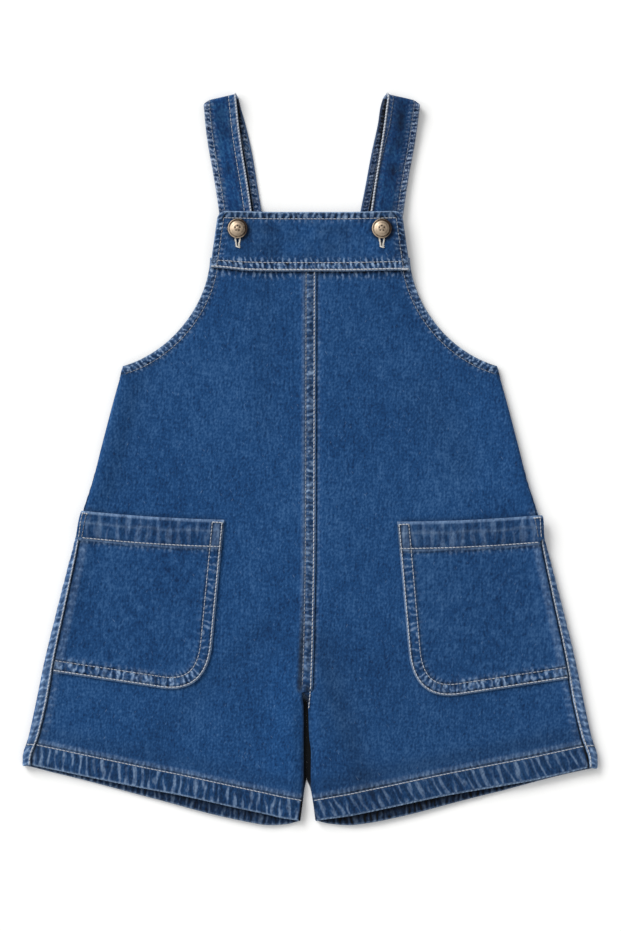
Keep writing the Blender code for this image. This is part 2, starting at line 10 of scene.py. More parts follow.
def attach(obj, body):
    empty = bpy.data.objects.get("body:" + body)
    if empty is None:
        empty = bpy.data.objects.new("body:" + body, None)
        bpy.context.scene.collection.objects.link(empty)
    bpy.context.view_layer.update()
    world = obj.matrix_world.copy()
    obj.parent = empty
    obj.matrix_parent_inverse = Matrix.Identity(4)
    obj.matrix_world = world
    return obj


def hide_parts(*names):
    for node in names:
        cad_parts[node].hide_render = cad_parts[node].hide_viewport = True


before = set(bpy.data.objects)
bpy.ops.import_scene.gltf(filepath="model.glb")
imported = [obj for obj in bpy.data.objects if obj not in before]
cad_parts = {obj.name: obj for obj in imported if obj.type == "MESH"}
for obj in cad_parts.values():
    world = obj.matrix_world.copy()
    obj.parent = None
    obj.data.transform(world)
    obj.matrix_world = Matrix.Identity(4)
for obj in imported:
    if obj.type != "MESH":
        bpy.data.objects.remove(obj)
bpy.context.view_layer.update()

# Front panels: two pieces of blue denim from under the bib band down to the leg hems, lapped and sewn with
# two rows down the middle. Armholes and legs are turned in and topstitched, and side seams join the back.
# All sizes are in millimetres, and "out" runs from the middle on round the side fold.
MM = 0.001
SIDES = {"left": -1, "right": 1}
CLOTH = 1.2
EDGE_RADIUS = CLOTH / 2
SEAM_GAP = 0.3
LAY_GAP = 0.4
FRONT_TOP_Y = 161.0
UNDERARM_Y = 74.4
HEM_OUTER_Y = -244.2
HEM_INNER_Y = -289.0
Side = namedtuple("Side", "y half_width fold_radius seam")
SIDE_ROWS = [Side(*row) for row in [
    (74.4, 149.4, 2.5, -5.2), (62.0, 153.0, 2.7, -5.6), (47.0, 157.2, 2.9, -6.0), (15.0, 165.6, 3.1, -6.3),
    (-16.0, 173.6, 3.2, -3.6), (-47.0, 183.4, 3.2, -2.2), (-64.0, 188.0, 3.2, 0.9),
    (-112.0, 200.4, 3.2, 3.4), (-160.0, 212.2, 3.2, 4.9), (-196.0, 219.6, 3.2, 5.9),
    (-222.0, 225.3, 3.2, 5.3), (-240.0, 230.2, 3.2, 4.2), (-246.0, 230.2, 3.2, 3.8),
]]
CROTCH_Y = -190.0
Middle = namedtuple("Middle", "y left right back_left back_right")
MIDDLE_ROWS = [Middle(*row) for row in [
    (192.0, 5.2, -4.0, 0.0, 0.3), (-60.0, 4.6, -4.4, -0.4, -0.1), (-150.0, 3.2, -5.6, -2.0, -1.7),
    (-180.0, 2.2, -6.2, -2.6, -2.3), (-185.4, 1.9, -6.1, -2.65, -2.6), (-187.0, -6.2, -5.4, -2.65, -2.6),
    (-190.0, -6.0, -3.0, -2.7, -2.65), (-197.0, -5.1, -1.6, -2.7, -2.65), (-210.0, -4.7, -1.1, -2.8, -2.75),
    (-222.0, -4.8, -0.7, -2.85, -2.8), (-235.0, -4.9, 0.8, -2.9, -2.85), (-254.0, -4.7, 0.6, -2.9, -2.85),
    (-262.0, -4.9, 0.8, -4.2, 0.1), (-274.0, -6.2, 2.6, -5.8, 2.4), (-289.0, -8.0, 4.6, -7.7, 4.3),
]]
LAP_WIDTH = 9.4
LAP_RISE = 0.6
LAP_DUCK = 0.9
LAP_SLOPE = 4.5
LAP_END_Y = -184.0
LAP_END_LENGTH = 5.0
LAP_STITCHES = (1.6, 8.2)  # from the lap's edge
LAP_PUCKER = 5.6  # mean distance between the puckers along the seam
ARMHOLE = [(80.0, 161.0), (80.6, 128.0), (108.0, 86.5), (149.4, 74.4)]
ARMHOLE_RUN_ON = (162.8, 70.5)  # the edge's line goes on to here over the side fold
ARM_STEPS = 48
ARM_HEM = 7.2
ARM_STITCH = 6.3
ARM_PUCKER = 4.2
ARM_HEM_RISE = 0.5
Height = namedtuple("Height", "y middle arm_edge leg_edge")
HEIGHT_ROWS = [Height(*row) for row in [
    (161.0, 5.4, 4.6, 3.0), (149.0, 5.4, 4.6, 3.0), (122.0, 4.6, 3.5, 3.0), (98.0, 4.4, 3.4, 3.0),
    (74.4, 4.3, 5.0, 3.0), (-60.0, 4.4, 5.0, 3.0), (-150.0, 4.7, 5.0, 3.0), (-210.0, 4.9, 5.0, 3.1),
    (-272.0, 5.5, 5.0, 4.0), (-289.0, 5.7, 5.0, 4.2),
]]
SIDE_ROLL = 19.0
ARM_ROLL = 20.0
LEG_ROLL = 10.0
LEG_ROLL_START = 14.0
BAND_TOP_Y = 198.4
BAND_FOOT_Y = 150.8
BAND_LIFT = 5.8
BAND_DIP = 1.1
BAND_DIP_OUT = 25.0
BAND_DIP_REACH = 15.0
BAND_END_DIP = 0.8
BAND_END_OUT = 72.0
BAND_END_REACH = 9.0
BAND_RIDGE_OUT = 6.0
BAND_RIDGE_REACH = 8.0
BAND_RIDGE_LENGTH = 12.0
BAND_SAG = 0.8
BAND_LOW_END_RISE = 2.0  # the band's lower left end lies this much higher
BAND_RAMP_Y = 118.0
BAND_RAMP_LENGTH = 30.0
Fold = namedtuple("Fold", "x0 y0 x1 y1 half_width height dark")  # dark: how shaded, or less than 0 for lit
FOLDS = [Fold(*row) for row in [
    (10.0, -146.0, 46.0, -262.0, 8.0, -1.1, 0.24), (-34.0, -139.0, -120.0, -225.0, 10.0, -0.6, 0.1),
    (-34.0, 132.0, -32.0, 23.0, 10.0, -0.5, 0.09), (94.0, 47.0, 126.0, -6.0, 13.0, -0.5, 0.1),
    (-136.0, 56.0, -154.0, -24.0, 11.0, -0.6, 0.12), (138.0, 40.0, 146.0, -20.0, 9.0, 0.5, -0.1),
    (-20.0, -176.0, -22.0, -246.0, 11.0, 0.6, -0.2),
]]
FOLD_SHADE_REACH = 1.4
RIGHT_SHADE = 0.06  # the side away from the lamp
LEFT_LIGHT = 0.04
RIGHT_LEG_SHADE = 0.1
UNDER_BAND_SHADE = {"left": 0.08, "right": 0.22}
HEM_DEPTH = 17.0
HEM_RISE = 0.8
HEM_STEP = 1.6
HEM_STITCH = 15.9
HEM_REACH = 30.0
Hem = namedtuple("Hem", "out front_left front_right back_left back_right")  # how much lower each edge hangs
HEM_ROWS = [Hem(*row) for row in [
    (-10.0, 0.6, 0.4, -1.2, -1.4), (12.0, 0.8, 0.9, -1.1, -1.4), (24.0, 1.3, 1.8, -0.6, -0.6),
    (36.0, 0.9, 2.4, 0.0, 0.3), (56.0, 0.8, 2.3, 0.2, 1.2), (104.0, 0.1, 1.8, -0.3, 0.9),
    (136.0, 0.7, 2.6, -0.3, 1.0), (156.0, 0.8, 3.3, -0.3, 1.3), (176.0, 0.8, 3.9, -0.3, 1.1),
    (204.0, 0.7, 3.4, -0.4, 0.7), (222.0, 0.5, 2.6, -1.2, 0.5),
]]
Crease = namedtuple("Crease", "lean spacing strength shade above")  # above: shade over the hem
HEM_CREASES = {"left": Crease(-0.05, 6.2, 0.68, 0.36, 0.22), "right": Crease(0.38, 6.5, 0.55, 0.36, 0.27)}
WELD = 0.004 * MM  # points closer than this are one
STITCH_LENGTH = 3.0
THREAD_RADIUS = 0.32
THREAD_SIDES = 5


def read(table, column, at):
    """A table's column at the given places: a smooth line through its rows that never overshoots them."""
    rows = sorted(table)
    places = np.array([row[0] for row in rows])
    values = np.array([getattr(row, column) for row in rows])
    step = np.diff(places)
    rise = np.diff(values) / step
    slope = np.zeros(len(places))
    same_way = rise[:-1] * rise[1:] > 0
    total = np.where(same_way, rise[:-1] + rise[1:], 1.0)
    slope[1:-1] = np.where(same_way, 2 * rise[:-1] * rise[1:] / total, 0.0)
    slope[0] = rise[0]
    slope[-1] = rise[-1]
    at = np.clip(at, places[0], places[-1])
    row = np.clip(np.searchsorted(places, at) - 1, 0, len(step) - 1)
    t = (at - places[row]) / step[row]
    start = values[row] * (1 + 2 * t) * (1 - t) ** 2 + slope[row] * step[row] * t * (1 - t) ** 2
    end = values[row + 1] * t * t * (3 - 2 * t) + slope[row + 1] * step[row] * t * t * (t - 1)
    return start + end


def ease(t):
    """0 to 1, level at both ends."""
    t = np.clip(t, 0.0, 1.0)
    return t * t * (3 - 2 * t)


def bump(distance, half_width):
    """A soft hump, 1 in the middle."""
    return np.exp(-((distance / half_width) ** 2))


def between(at, low, high, soft):
    """1 from low to high, and down to 0 over a soft distance outside."""
    return ease((at - low + soft) / soft) * (1 - ease((at - high) / soft))


def past(at, low, soft):
    """1 from low on, and down to 0 over a soft distance before it."""
    return ease((at - low + soft) / soft)


def uneven(along, spacing, seed):
    """Uneven ridges and troughs along a line, from 1 to -1, with a mean spacing of the ridges."""
    draw = np.random.default_rng(seed)
    numbers = np.arange(1200)
    knots = (numbers + 0.42 * draw.uniform(-1, 1, len(numbers)) - 400) * spacing / 2
    heights = (1 - 2 * (numbers % 2)) * draw.uniform(0.2, 1.0, len(numbers))
    place = np.interp(along, knots, numbers)
    low = np.clip(place.astype(int), 0, len(numbers) - 2)
    return heights[low] + (heights[low + 1] - heights[low]) * ease(place - low)


def mottle(x, y, size, seed):
    """Soft uneven patches over a surface, from -1 to 1."""
    lattice = np.random.default_rng(seed).uniform(-1, 1, (97, 97))
    column = np.floor(x / size).astype(int)
    row = np.floor(y / size).astype(int)
    s = ease(x / size - column)
    t = ease(y / size - row)
    corners = [lattice[(row + k) % 97, (column + n) % 97] for k in (0, 1) for n in (0, 1)]
    near = corners[0] * (1 - s) + corners[1] * s
    far = corners[2] * (1 - s) + corners[3] * s
    return near * (1 - t) + far * t


def puckers(along, off, spacing, seed):
    """Ridges and troughs of a seam's puckers, bent and broken unevenly, from 1 to -1."""
    bent = along + 0.3 * spacing * mottle(along, off, 0.9 * spacing, seed + 500)
    broken = mottle(along, off, 0.4 * spacing, seed + 501)
    return np.clip(1.2 * uneven(bent, spacing, seed) + 0.45 * broken, -1.0, 1.0)


Zone = namedtuple("Zone", "strength along off")  # a seam's fine puckers, with the place in their spacings


def strongest(zones, shown):
    """The strength of the strongest seam's fine puckers at each point, and the place for their pattern."""
    strength = np.stack([zone.strength * shown for zone in zones])
    best = np.argmax(strength, axis=0)
    point = np.arange(len(best))
    along = np.stack([zone.along for zone in zones])[best, point]
    off = np.stack([zone.off for zone in zones])[best, point]
    return strength[best, point], np.stack([along, off, 7.0 * best], axis=-1)


def bezier(points, t):
    """A point, or points, of a cubic Bezier curve."""
    weights = ((1 - t) ** 3, 3 * t * (1 - t) ** 2, 3 * t * t * (1 - t), t**3)
    return [sum(w * point[axis] for w, point in zip(weights, points)) for axis in (0, 1)]


def nearest_on(path, x, y):
    """Distance from points to a path, and how far along it the nearest place is."""
    best = np.full(np.shape(x), np.inf)
    place = np.zeros(np.shape(x))
    run = 0.0
    for (x0, y0), (x1, y1) in zip(path, path[1:]):
        length = math.hypot(x1 - x0, y1 - y0)
        along = np.clip(((x - x0) * (x1 - x0) + (y - y0) * (y1 - y0)) / length**2, 0.0, 1.0)
        away = np.hypot(x - x0 - along * (x1 - x0), y - y0 - along * (y1 - y0))
        place = np.where(away < best, run + along * length, place)
        best = np.minimum(away, best)
        run += length
    return best, place


def armhole_path(curve):
    """An armhole's edge as a path."""
    return list(zip(*bezier(curve, np.linspace(0.0, 1.0, ARM_STEPS + 1))))


ARM_PATH = armhole_path(ARMHOLE)
ARM_HEM_PATH = ARM_PATH + [ARMHOLE_RUN_ON]


def armhole_out(path, y):
    """How far out an armhole's edge is at the given y."""
    out, height = np.array(path).T
    return np.interp(y, height[::-1], out[::-1])


def fold_top(y):
    """How far out the top of the side fold is; at the armhole, its edge."""
    side = read(SIDE_ROWS, "half_width", y) - read(SIDE_ROWS, "fold_radius", y)
    return np.where(y > UNDERARM_Y, armhole_out(ARM_PATH, y), side)


def middle_edge(side, column, y):
    """How far out a panel's edge at the middle is, less than 0 where it is over on the other side."""
    return SIDES[side] * read(MIDDLE_ROWS, column, y)


def band_sag(x, y):
    """How much lower the band's rows hang in the middle than at its ends."""
    sag = BAND_SAG * (1 - ease((abs(x) - 30.0) / 45.0))
    low_end = ease((-x - 48.0) / 30.0) * (1 - ease((y - BAND_FOOT_Y) / 14.0))
    return sag - BAND_LOW_END_RISE * low_end


def band_underside(x, y):
    """Height of the bib band's underside."""
    out = abs(x)
    ends = ease((out - BAND_END_OUT) / BAND_END_REACH)
    centre = 1 - ease((out - BAND_DIP_OUT) / BAND_DIP_REACH)
    over_seam = 1 - ease((out - BAND_RIDGE_OUT) / BAND_RIDGE_REACH)
    over_seam = over_seam * (1 - ease((y - FRONT_TOP_Y) / BAND_RIDGE_LENGTH))
    return BAND_LIFT - BAND_DIP * centre - BAND_END_DIP * ends + LAP_RISE * over_seam


def front_height(x, y):
    """Height of the front cloth's upper face, without seams and hems."""
    out = abs(x)
    base = read(HEIGHT_ROWS, "middle", y)
    under_band = ease((y - BAND_RAMP_Y) / BAND_RAMP_LENGTH)
    base += under_band * (band_underside(x, BAND_TOP_Y) - LAY_GAP - base)
    for fold in FOLDS:
        base += fold.height * bump(nearest_on([fold[:2], fold[2:4]], x, y)[0], fold.half_width)
    from_side = np.where(y > UNDERARM_Y, 1.0, ease((fold_top(y) - out) / SIDE_ROLL))
    from_arm = ease(nearest_on(ARM_PATH, out, y)[0] / ARM_ROLL)
    fold_height = 2 * read(SIDE_ROWS, "fold_radius", y)
    height = fold_height + (base - fold_height) * from_side
    arm_height = np.where(y > UNDERARM_Y, read(HEIGHT_ROWS, "arm_edge", y), height)
    height = arm_height + (height - arm_height) * from_arm
    inside = np.where(x < 0, middle_edge("left", "left", y), middle_edge("right", "right", y))
    leg_roll = (1 - ease((out - inside) / LEG_ROLL)) * ease((CROTCH_Y - y) / LEG_ROLL_START)
    return height + (read(HEIGHT_ROWS, "leg_edge", y) - height) * leg_roll


def body_point(side, out, y, lift):
    """A point at a distance above the cloth's outer face, which runs on round the side fold."""
    top = fold_top(y)
    radius = read(SIDE_ROWS, "fold_radius", y)
    over = np.where(y > UNDERARM_Y, 0.0, out - top)
    angle = np.clip(over / radius, 0.0, math.pi)
    flat_out = np.minimum(out, top)
    under = np.clip(over - math.pi * radius, 0.0, None)
    x = flat_out + (radius + lift) * np.sin(angle) - under
    level = front_height(SIDES[side] * flat_out, y) + lift
    z = np.where(over > 0, radius + (radius + lift) * np.cos(angle), level)
    return np.stack([SIDES[side] * x, y, z], axis=-1)


def outer_y(inner_y):
    """The y of a row's outer end: rows follow the hem's slant, and the hem keeps its depth."""
    leg = HEM_INNER_Y + HEM_DEPTH
    slant = (UNDERARM_Y - HEM_OUTER_Y - HEM_DEPTH) / (UNDERARM_Y - leg)
    sloped = UNDERARM_Y + (np.maximum(inner_y, leg) - UNDERARM_Y) * slant + np.minimum(inner_y - leg, 0.0)
    return np.where(inner_y > UNDERARM_Y, inner_y, sloped)


def front_width(side, inner):
    """Width of a row of the front, from the middle edge round to the side seam."""
    outer = outer_y(inner)
    seam = np.where(outer > UNDERARM_Y, 0.0, read(SIDE_ROWS, "seam", outer))
    gap = SEAM_GAP / 2 * (outer <= UNDERARM_Y)
    return fold_top(outer) - seam - middle_edge(side, side, inner) - gap


def hem_fall(column, out, inner):
    """How much lower a leg hem's edge hangs than its straight line."""
    return read(HEM_ROWS, column, out) * (1 - ease((inner - HEM_INNER_Y) / HEM_REACH))


def front_spot(side, across, inner):
    """out and y of a place across the row that starts at inner."""
    share = across / front_width(side, inner)
    out = middle_edge(side, side, inner) + across
    return out, inner + (outer_y(inner) - inner) * share - hem_fall("front_" + side, out, inner)


Pocket = namedtuple("Pocket", "top_outer_y top_inner top_inner_y corner corner_y foot_outer_y")
POCKETS = {
    "left": Pocket(-41.4, 68.6, -48.6, 82.0, -189.0, -170.4),
    "right": Pocket(-45.0, 69.6, -50.1, 82.3, -194.6, -175.8),
}
POCKET_REACH = (1.7, 3.1)  # round the side fold at the band's foot and at its top
MOUTH_SAG = 1.2


def mouth_sag(side, out):
    """How far a pocket's top edge sags between its ends."""
    shape = POCKETS[side]
    outer = float(fold_top(np.array([shape.top_outer_y]))[0]) + POCKET_REACH[1]
    share = np.clip((out - shape.top_inner) / (outer - shape.top_inner), 0.0, 1.0)
    return share, MOUTH_SAG * 4 * share * (1 - share)


def front_relief(side, across, inner):
    """How far seams, hems and puckers lift the front's face, how worn pale it is, how dark it lies, and where
    it has fine puckers. In each term the first number is its strength, and the others are distances."""
    out, y = front_spot(side, across, inner)
    seed = 10 if side == "left" else 40
    x = SIDES[side] * out
    lap_zone = 1 - ease((LAP_END_Y - inner) / LAP_END_LENGTH)
    from_lap = read(MIDDLE_ROWS, "left", np.maximum(inner, LAP_END_Y)) - x
    lap = (1 - ease(((from_lap if side == "left" else across) - LAP_WIDTH) / LAP_SLOPE)) * lap_zone
    lift = lap * (LAP_RISE if side == "left" else -LAP_DUCK)
    worn = np.zeros(len(x))
    shade = RIGHT_SHADE * ease((x + 30.0) / 70.0) - LEFT_LIGHT
    shade += RIGHT_LEG_SHADE * ease((-110.0 - y) / 60.0) * ease(x / 10.0)
    for fold in FOLDS:
        away = nearest_on([fold[:2], fold[2:4]], x, y)[0]
        shade += fold.dark * bump(away, FOLD_SHADE_REACH * fold.half_width)

    # The lap, or the edge under it
    if side == "left":
        along = inner + 0.12 * from_lap
        ridges = puckers(along, from_lap, LAP_PUCKER, seed)
        zone = between(from_lap, LAP_STITCHES[0] + 0.8, LAP_STITCHES[1] - 0.8, 1.0) * lap_zone
        beyond = between(from_lap, LAP_STITCHES[1] + 0.8, LAP_STITCHES[1] + 1.0, 3.5) * lap_zone
        calm = 1 - 0.5 * ease((-150.0 - inner) / 25.0)
        zones = [Zone(calm * (0.7 * zone + 0.25 * beyond), along / LAP_PUCKER, from_lap / 7.0)]
        lift += 0.2 * ridges * zone + 0.1 * ridges * beyond
        worn += 0.36 * np.clip(ridges, 0, 1) * zone + 0.2 * beyond
        worn += 0.3 * bump(from_lap - 0.8, 0.9) * lap_zone
        shade += 0.3 * np.clip(-ridges, 0, 1) * zone
        for stitch in LAP_STITCHES:
            lift -= 0.22 * bump(from_lap - stitch, 0.7) * lap_zone
            shade += 0.5 * bump(from_lap - stitch, 0.75) * lap_zone
        between_rows = 0.5 * bump(from_lap - 3.7, 1.1) + 0.3 * bump(from_lap - 5.3, 1.2)
        shade += (between_rows + 0.5 * bump(from_lap - 9.4, 0.7)) * lap_zone
        deep = ease((-105.0 - inner) / 60.0)
        crease = deep * bump(from_lap - 9.7 - 1.1 * deep, 0.9 + 1.0 * deep)
        shade += 1.1 * crease * (1 - ease((-185.0 - inner) / 4.0))
        shade += 0.6 * ease((-178.0 - inner) / 7.0) * between(from_lap, 1.0, 6.0, 1.5)
    else:
        shade += 0.75 * bump(from_lap + 0.2, 0.85) * lap_zone * (from_lap < 1.0)
        beyond = between(-from_lap, 0.9, 1.2, 3.5) * lap_zone
        worn += 0.08 * bump(from_lap + 2.0, 0.8) * lap_zone
        zones = [Zone(0.22 * beyond, inner / LAP_PUCKER, from_lap / 6.0)]
        at_crotch = ease((-178.0 - inner) / 6.0) * ease((inner + 200.0) / 6.0)
        shade += at_crotch * between(from_lap, 2.8, 7.6, 0.9)

    # The armhole's hem
    arm, arm_along = nearest_on(ARM_HEM_PATH, out, y)
    arm_zone = ease((y - UNDERARM_Y + 14.0) / 6.0) * (1 - ease((y - BAND_FOOT_Y + 4.0) / 3.0))
    lift += ARM_HEM_RISE * arm_zone * (1 - ease((arm - ARM_HEM) / 1.4))
    above_foot = (y > BAND_FOOT_Y - 1.0) * (arm < 3.5)
    worn += 0.6 * above_foot
    ridges = puckers(arm_along + 0.2 * arm, arm, ARM_PUCKER, seed + 1)
    zone = between(arm, 0.6, ARM_STITCH - 0.8, 0.9) * arm_zone
    beyond = between(arm, ARM_STITCH + 0.8, ARM_STITCH + 1.2, 3.0) * arm_zone
    zones.append(Zone(zone + 0.35 * beyond, (arm_along + 0.2 * arm) / ARM_PUCKER, arm / 3.5))
    lift += 0.16 * ridges * zone + 0.08 * ridges * beyond
    worn += 0.2 * np.clip(ridges, 0, 1) * zone + 0.45 * bump(arm - 0.4, 0.8) * arm_zone
    shade += (0.12 + 0.35 * np.clip(-ridges, 0, 1)) * zone
    shade += 0.6 * bump(arm - ARM_STITCH + 0.3, 0.9) * arm_zone
    lift -= 0.2 * bump(arm - ARM_STITCH, 0.8) * arm_zone

    # The leg's hem
    depth = inner - HEM_INNER_Y
    crease = HEM_CREASES[side]
    along = across + crease.lean * depth
    creases = puckers(along, 0.5 * depth, crease.spacing, seed + 3)
    zone = between(depth, 1.0, HEM_STITCH - 1.0, 1.2)
    foot = 1 - ease(depth / 5.0)
    beyond = between(depth, HEM_STITCH + 1.9, HEM_STITCH + 2.6, 3.5)
    zones.append(Zone(crease.strength * zone, along / crease.spacing, depth / 18.0))
    zones.append(Zone(0.65 * foot, across / 3.4, depth / 7.0))
    zones.append(Zone(0.36 * beyond, across / 4.5, depth / 6.0))
    lift += HEM_RISE * (1 - ease((depth - HEM_DEPTH + HEM_STEP / 2) / HEM_STEP))
    lift += 0.2 * creases * zone
    worn += 0.8 * bump(depth - 0.5, 0.7) + 0.2 * beyond
    shade += crease.shade * zone + crease.above * bump(depth - 26.0, 8.0)
    shade += 0.95 * bump(depth - HEM_STITCH - 1.2, 0.8)
    lift -= 0.25 * bump(depth - HEM_STITCH, 0.8)

    # The side seam
    seam = front_width(side, inner) - across
    seam_zone = ease((-36.0 - y) / 6.0)
    ridges = puckers(y, seam, 7.5, seed + 5)
    beyond = between(seam, 2.6, 4.0, 3.5) * seam_zone
    zones.append(Zone(0.25 * beyond, y / 6.5, seam / 6.0))
    lift += 0.1 * ridges * beyond
    worn += 0.05 * beyond
    shade += 0.95 * bump(seam - 0.2, 0.9) * seam_zone

    # The shadow over the pocket's mouth
    shape = POCKETS[side]
    share, sag = mouth_sag(side, out)
    above_mouth = y - (shape.top_inner_y + (shape.top_outer_y - shape.top_inner_y) * share - sag)
    shade += 0.4 * bump(above_mouth - 0.3, 2.6) * ease((out - shape.top_inner) / 4.0)

    # Puckers and shadow under the band's foot
    under_band = BAND_FOOT_Y - band_sag(x, BAND_FOOT_Y) - y
    ridges = puckers(x, 0.4 * under_band, 4.6, seed + 6)
    zone = between(under_band, -1.0, 2.0, 6.0) * (1 - lap)
    zones.append(Zone(0.7 * zone, x / 4.8, under_band / 7.0))
    lift += 0.12 * ridges * zone
    contact = 0.85 * bump(under_band - 0.2, 1.2) * (1 - above_foot)
    shade += contact * (1 - np.clip(shade, 0, 1)) + UNDER_BAND_SHADE[side] * zone

    # Painted shade along the turned edge beside the slit, and the open cloth's soft unevenness
    reach = 2.8 + 1.6 * bump(inner + 242.0, 16.0) * (side == "left")
    inside = between(across, 0.0, 0.4, reach) * ease((CROTCH_Y + 4.0 - inner) / 5.0)
    shade += (0.95 if side == "left" else 0.3) * inside
    soft = mottle(x, y, 26.0, seed + 7) + 0.5 * mottle(x, y, 11.0, seed + 8)
    open_cloth = past(depth, 24.0, 6.0) * past(across, 14.0, 6.0)
    lift += 0.16 * soft * open_cloth * past(seam, 12.0, 8.0) * (1 - ease((y - 120.0) / 20.0))
    return lift, np.clip(worn, 0, 1), np.clip(shade, -0.3, 1.2), zones


def front_point(side, across, inner, above):
    """A point at a height above the finished face of the front."""
    out, y = front_spot(side, across, inner)
    return body_point(side, out, y, front_relief(side, across, inner)[0] + above)


def into_scene(name, mesh, material=None):
    """A bmesh's object, in the scene."""
    data = bpy.data.meshes.new(name)
    mesh.to_mesh(data)
    mesh.free()
    if material:
        data.materials.append(material)
    made = bpy.data.objects.new(name, data)
    bpy.context.scene.collection.objects.link(made)
    return made


def cloth_shell(name, columns, rows, material, place):
    """A closed shell of cloth. place(column, row, is_upper) gives the points of its lower and upper face,
    their place in the weave, how worn pale they are, how much painted shade darkens them, how far inside out
    they are, and their fine puckers."""
    mesh = bmesh.new()
    bmesh.ops.create_grid(mesh, x_segments=columns, y_segments=rows, size=1.0)
    extruded = bmesh.ops.extrude_face_region(mesh, geom=mesh.faces[:])
    raised = [item for item in extruded["geom"] if isinstance(item, bmesh.types.BMVert)]
    bmesh.ops.translate(mesh, verts=raised, vec=(0.0, 0.0, 1.0))
    spots = np.array([vert.co[:] for vert in mesh.verts])
    column = np.rint((spots[:, 0] + 1) / 2 * columns).astype(int)
    row = np.rint((1 - spots[:, 1]) / 2 * rows).astype(int)
    points, grain, worn, shade, inside, (pucker, seam) = place(column, row, spots[:, 2] > 0.5)
    for vert, point in zip(mesh.verts, points):
        vert.co = Vector(point) * MM
    bmesh.ops.recalc_face_normals(mesh, faces=mesh.faces[:])
    made = into_scene(name, mesh, material)
    marks = made.data.attributes
    for mark, values in (("grain", grain), ("seam", seam)):
        marks.new(mark, "FLOAT_VECTOR", "POINT").data.foreach_set("vector", values.ravel())
    for mark, values in (("worn", worn), ("shade", shade), ("inside", inside), ("pucker", pucker)):
        marks.new(mark, "FLOAT", "POINT").data.foreach_set("value", values)
    made.data.shade_smooth()
    made.data.set_sharp_from_angle(angle=math.radians(50.0))
    return made


Cut = namedtuple("Cut", "x y upper lower")  # where in the weave a piece is cut, and its two faces' depths


def in_weave(x, y, is_upper, cut):
    """Places in the weave's pattern."""
    return np.stack([x + cut.x, y + cut.y, np.where(is_upper, cut.upper, cut.lower)], axis=-1)


def rounded_edge(distance, radius):
    """How much a face drops towards a soft edge."""
    t = np.clip(1 - distance / radius, 0.0, 1.0)
    return radius * (1 - np.sqrt(1 - t * t))


def linear(hex_colour, alpha=1.0):
    """An sRGB hex colour as linear RGBA."""
    channels = [int(hex_colour[k : k + 2], 16) / 255 for k in (1, 3, 5)]
    return [c / 12.92 if c <= 0.04045 else ((c + 0.055) / 1.055) ** 2.4 for c in channels] + [alpha]


def give(node, inputs):
    """Gives a node's inputs values or links."""
    for name, value in inputs.items():
        if isinstance(value, bpy.types.NodeSocket):
            node.id_data.links.new(value, node.inputs[name])
        else:
            node.inputs[name].default_value = value


def add(material, kind, inputs=None, out=0, **settings):
    """Adds a node to a material, with its settings and its inputs' values or links, and gives one output."""
    made = material.node_tree.nodes.new(kind)
    for name, value in settings.items():
        setattr(made, name, value)
    give(made, inputs or {})
    return made.outputs[out]


def new_material(name):
    """A new material and its shader."""
    material = bpy.data.materials.new(name)
    material.use_nodes = True
    return material, material.node_tree.nodes["Principled BSDF"]


def set_stops(colour, low, middle, high):
    """Sets the (place, colour) stops behind a graded colour."""
    elements = colour.node.color_ramp.elements
    for element, (place, shade) in zip(elements, (low, high)):
        element.position = place
        element.color = linear(shade)
    elements.new(middle[0]).color = linear(middle[1])


# Weave of washed cotton denim, in the flat cloth's millimetres: size of a patch or streak across and along
# the warp, its turn in degrees, its share in the colour and in the relief. The twill's lines are 0.8 mm apart
# on the real cloth and are drawn twice as far apart here to show.
Layer = namedtuple("Layer", "across along turn detail colour relief")
WEAVE = [
    Layer(75.0, 95.0, 0.0, 2.0, 0.42, 0.0),
    Layer(9.0, 14.0, -20.0, 2.0, 0.34, 0.0),
    Layer(1.8, 16.0, 0.0, 2.0, 0.5, 0.35),
    Layer(16.0, 1.9, 0.0, 1.0, 0.14, 0.2),
    Layer(1.6, 2.3, 12.0, 1.0, 0.78, 0.7),
    Layer(1.6, 5.0, 25.0, 0.0, 0.26, 0.35),
]
FLECKS = [Layer(1.0, 6.5, -35.0, 1.0, 0.0, 0.0), Layer(1.0, 6.0, 28.0, 1.0, 0.0, 0.0)]
FLECK_EDGE = 0.72
FLECK_SHARE = 0.3
PALE_PUCKERS = (0.56, 0.86)  # from here up a pucker's crest is rubbed pale
DARK_PUCKERS = (0.46, 0.14)  # from here down its trough lies dark
PUCKER_SHADE = 0.62
PUCKER_RELIEF = 0.5


def weave_noise(material, grain, layer):
    """One layer of the weave's unevenness."""
    turn = (0.0, 0.0, math.radians(layer.turn))
    turned = add(material, "ShaderNodeMapping", {"Vector": grain, "Rotation": turn})
    scale = (1 / layer.across, 1 / layer.along, 1 / layer.across)
    scaled = add(material, "ShaderNodeMapping", {"Vector": turned, "Scale": scale})
    settings = {"Vector": scaled, "Scale": 1.0, "Detail": layer.detail, "Roughness": 0.55}
    return add(material, "ShaderNodeTexNoise", settings)


def weighed(material, values, shares):
    """Noises added up by their shares, around one half."""
    total = 0.5 - sum(shares) / 2
    for value, share in zip(values, shares):
        total = add(material, "ShaderNodeMath", {0: value, 1: share, 2: total}, operation="MULTIPLY_ADD")
    return total


def coated(material, colour, coats):
    """A colour under coats of others, each with its share."""
    for share, coat in coats:
        inputs = {"Factor": share, "A": colour, "B": coat}
        colour = add(material, "ShaderNodeMix", inputs, "Result", data_type="RGBA")
    return colour


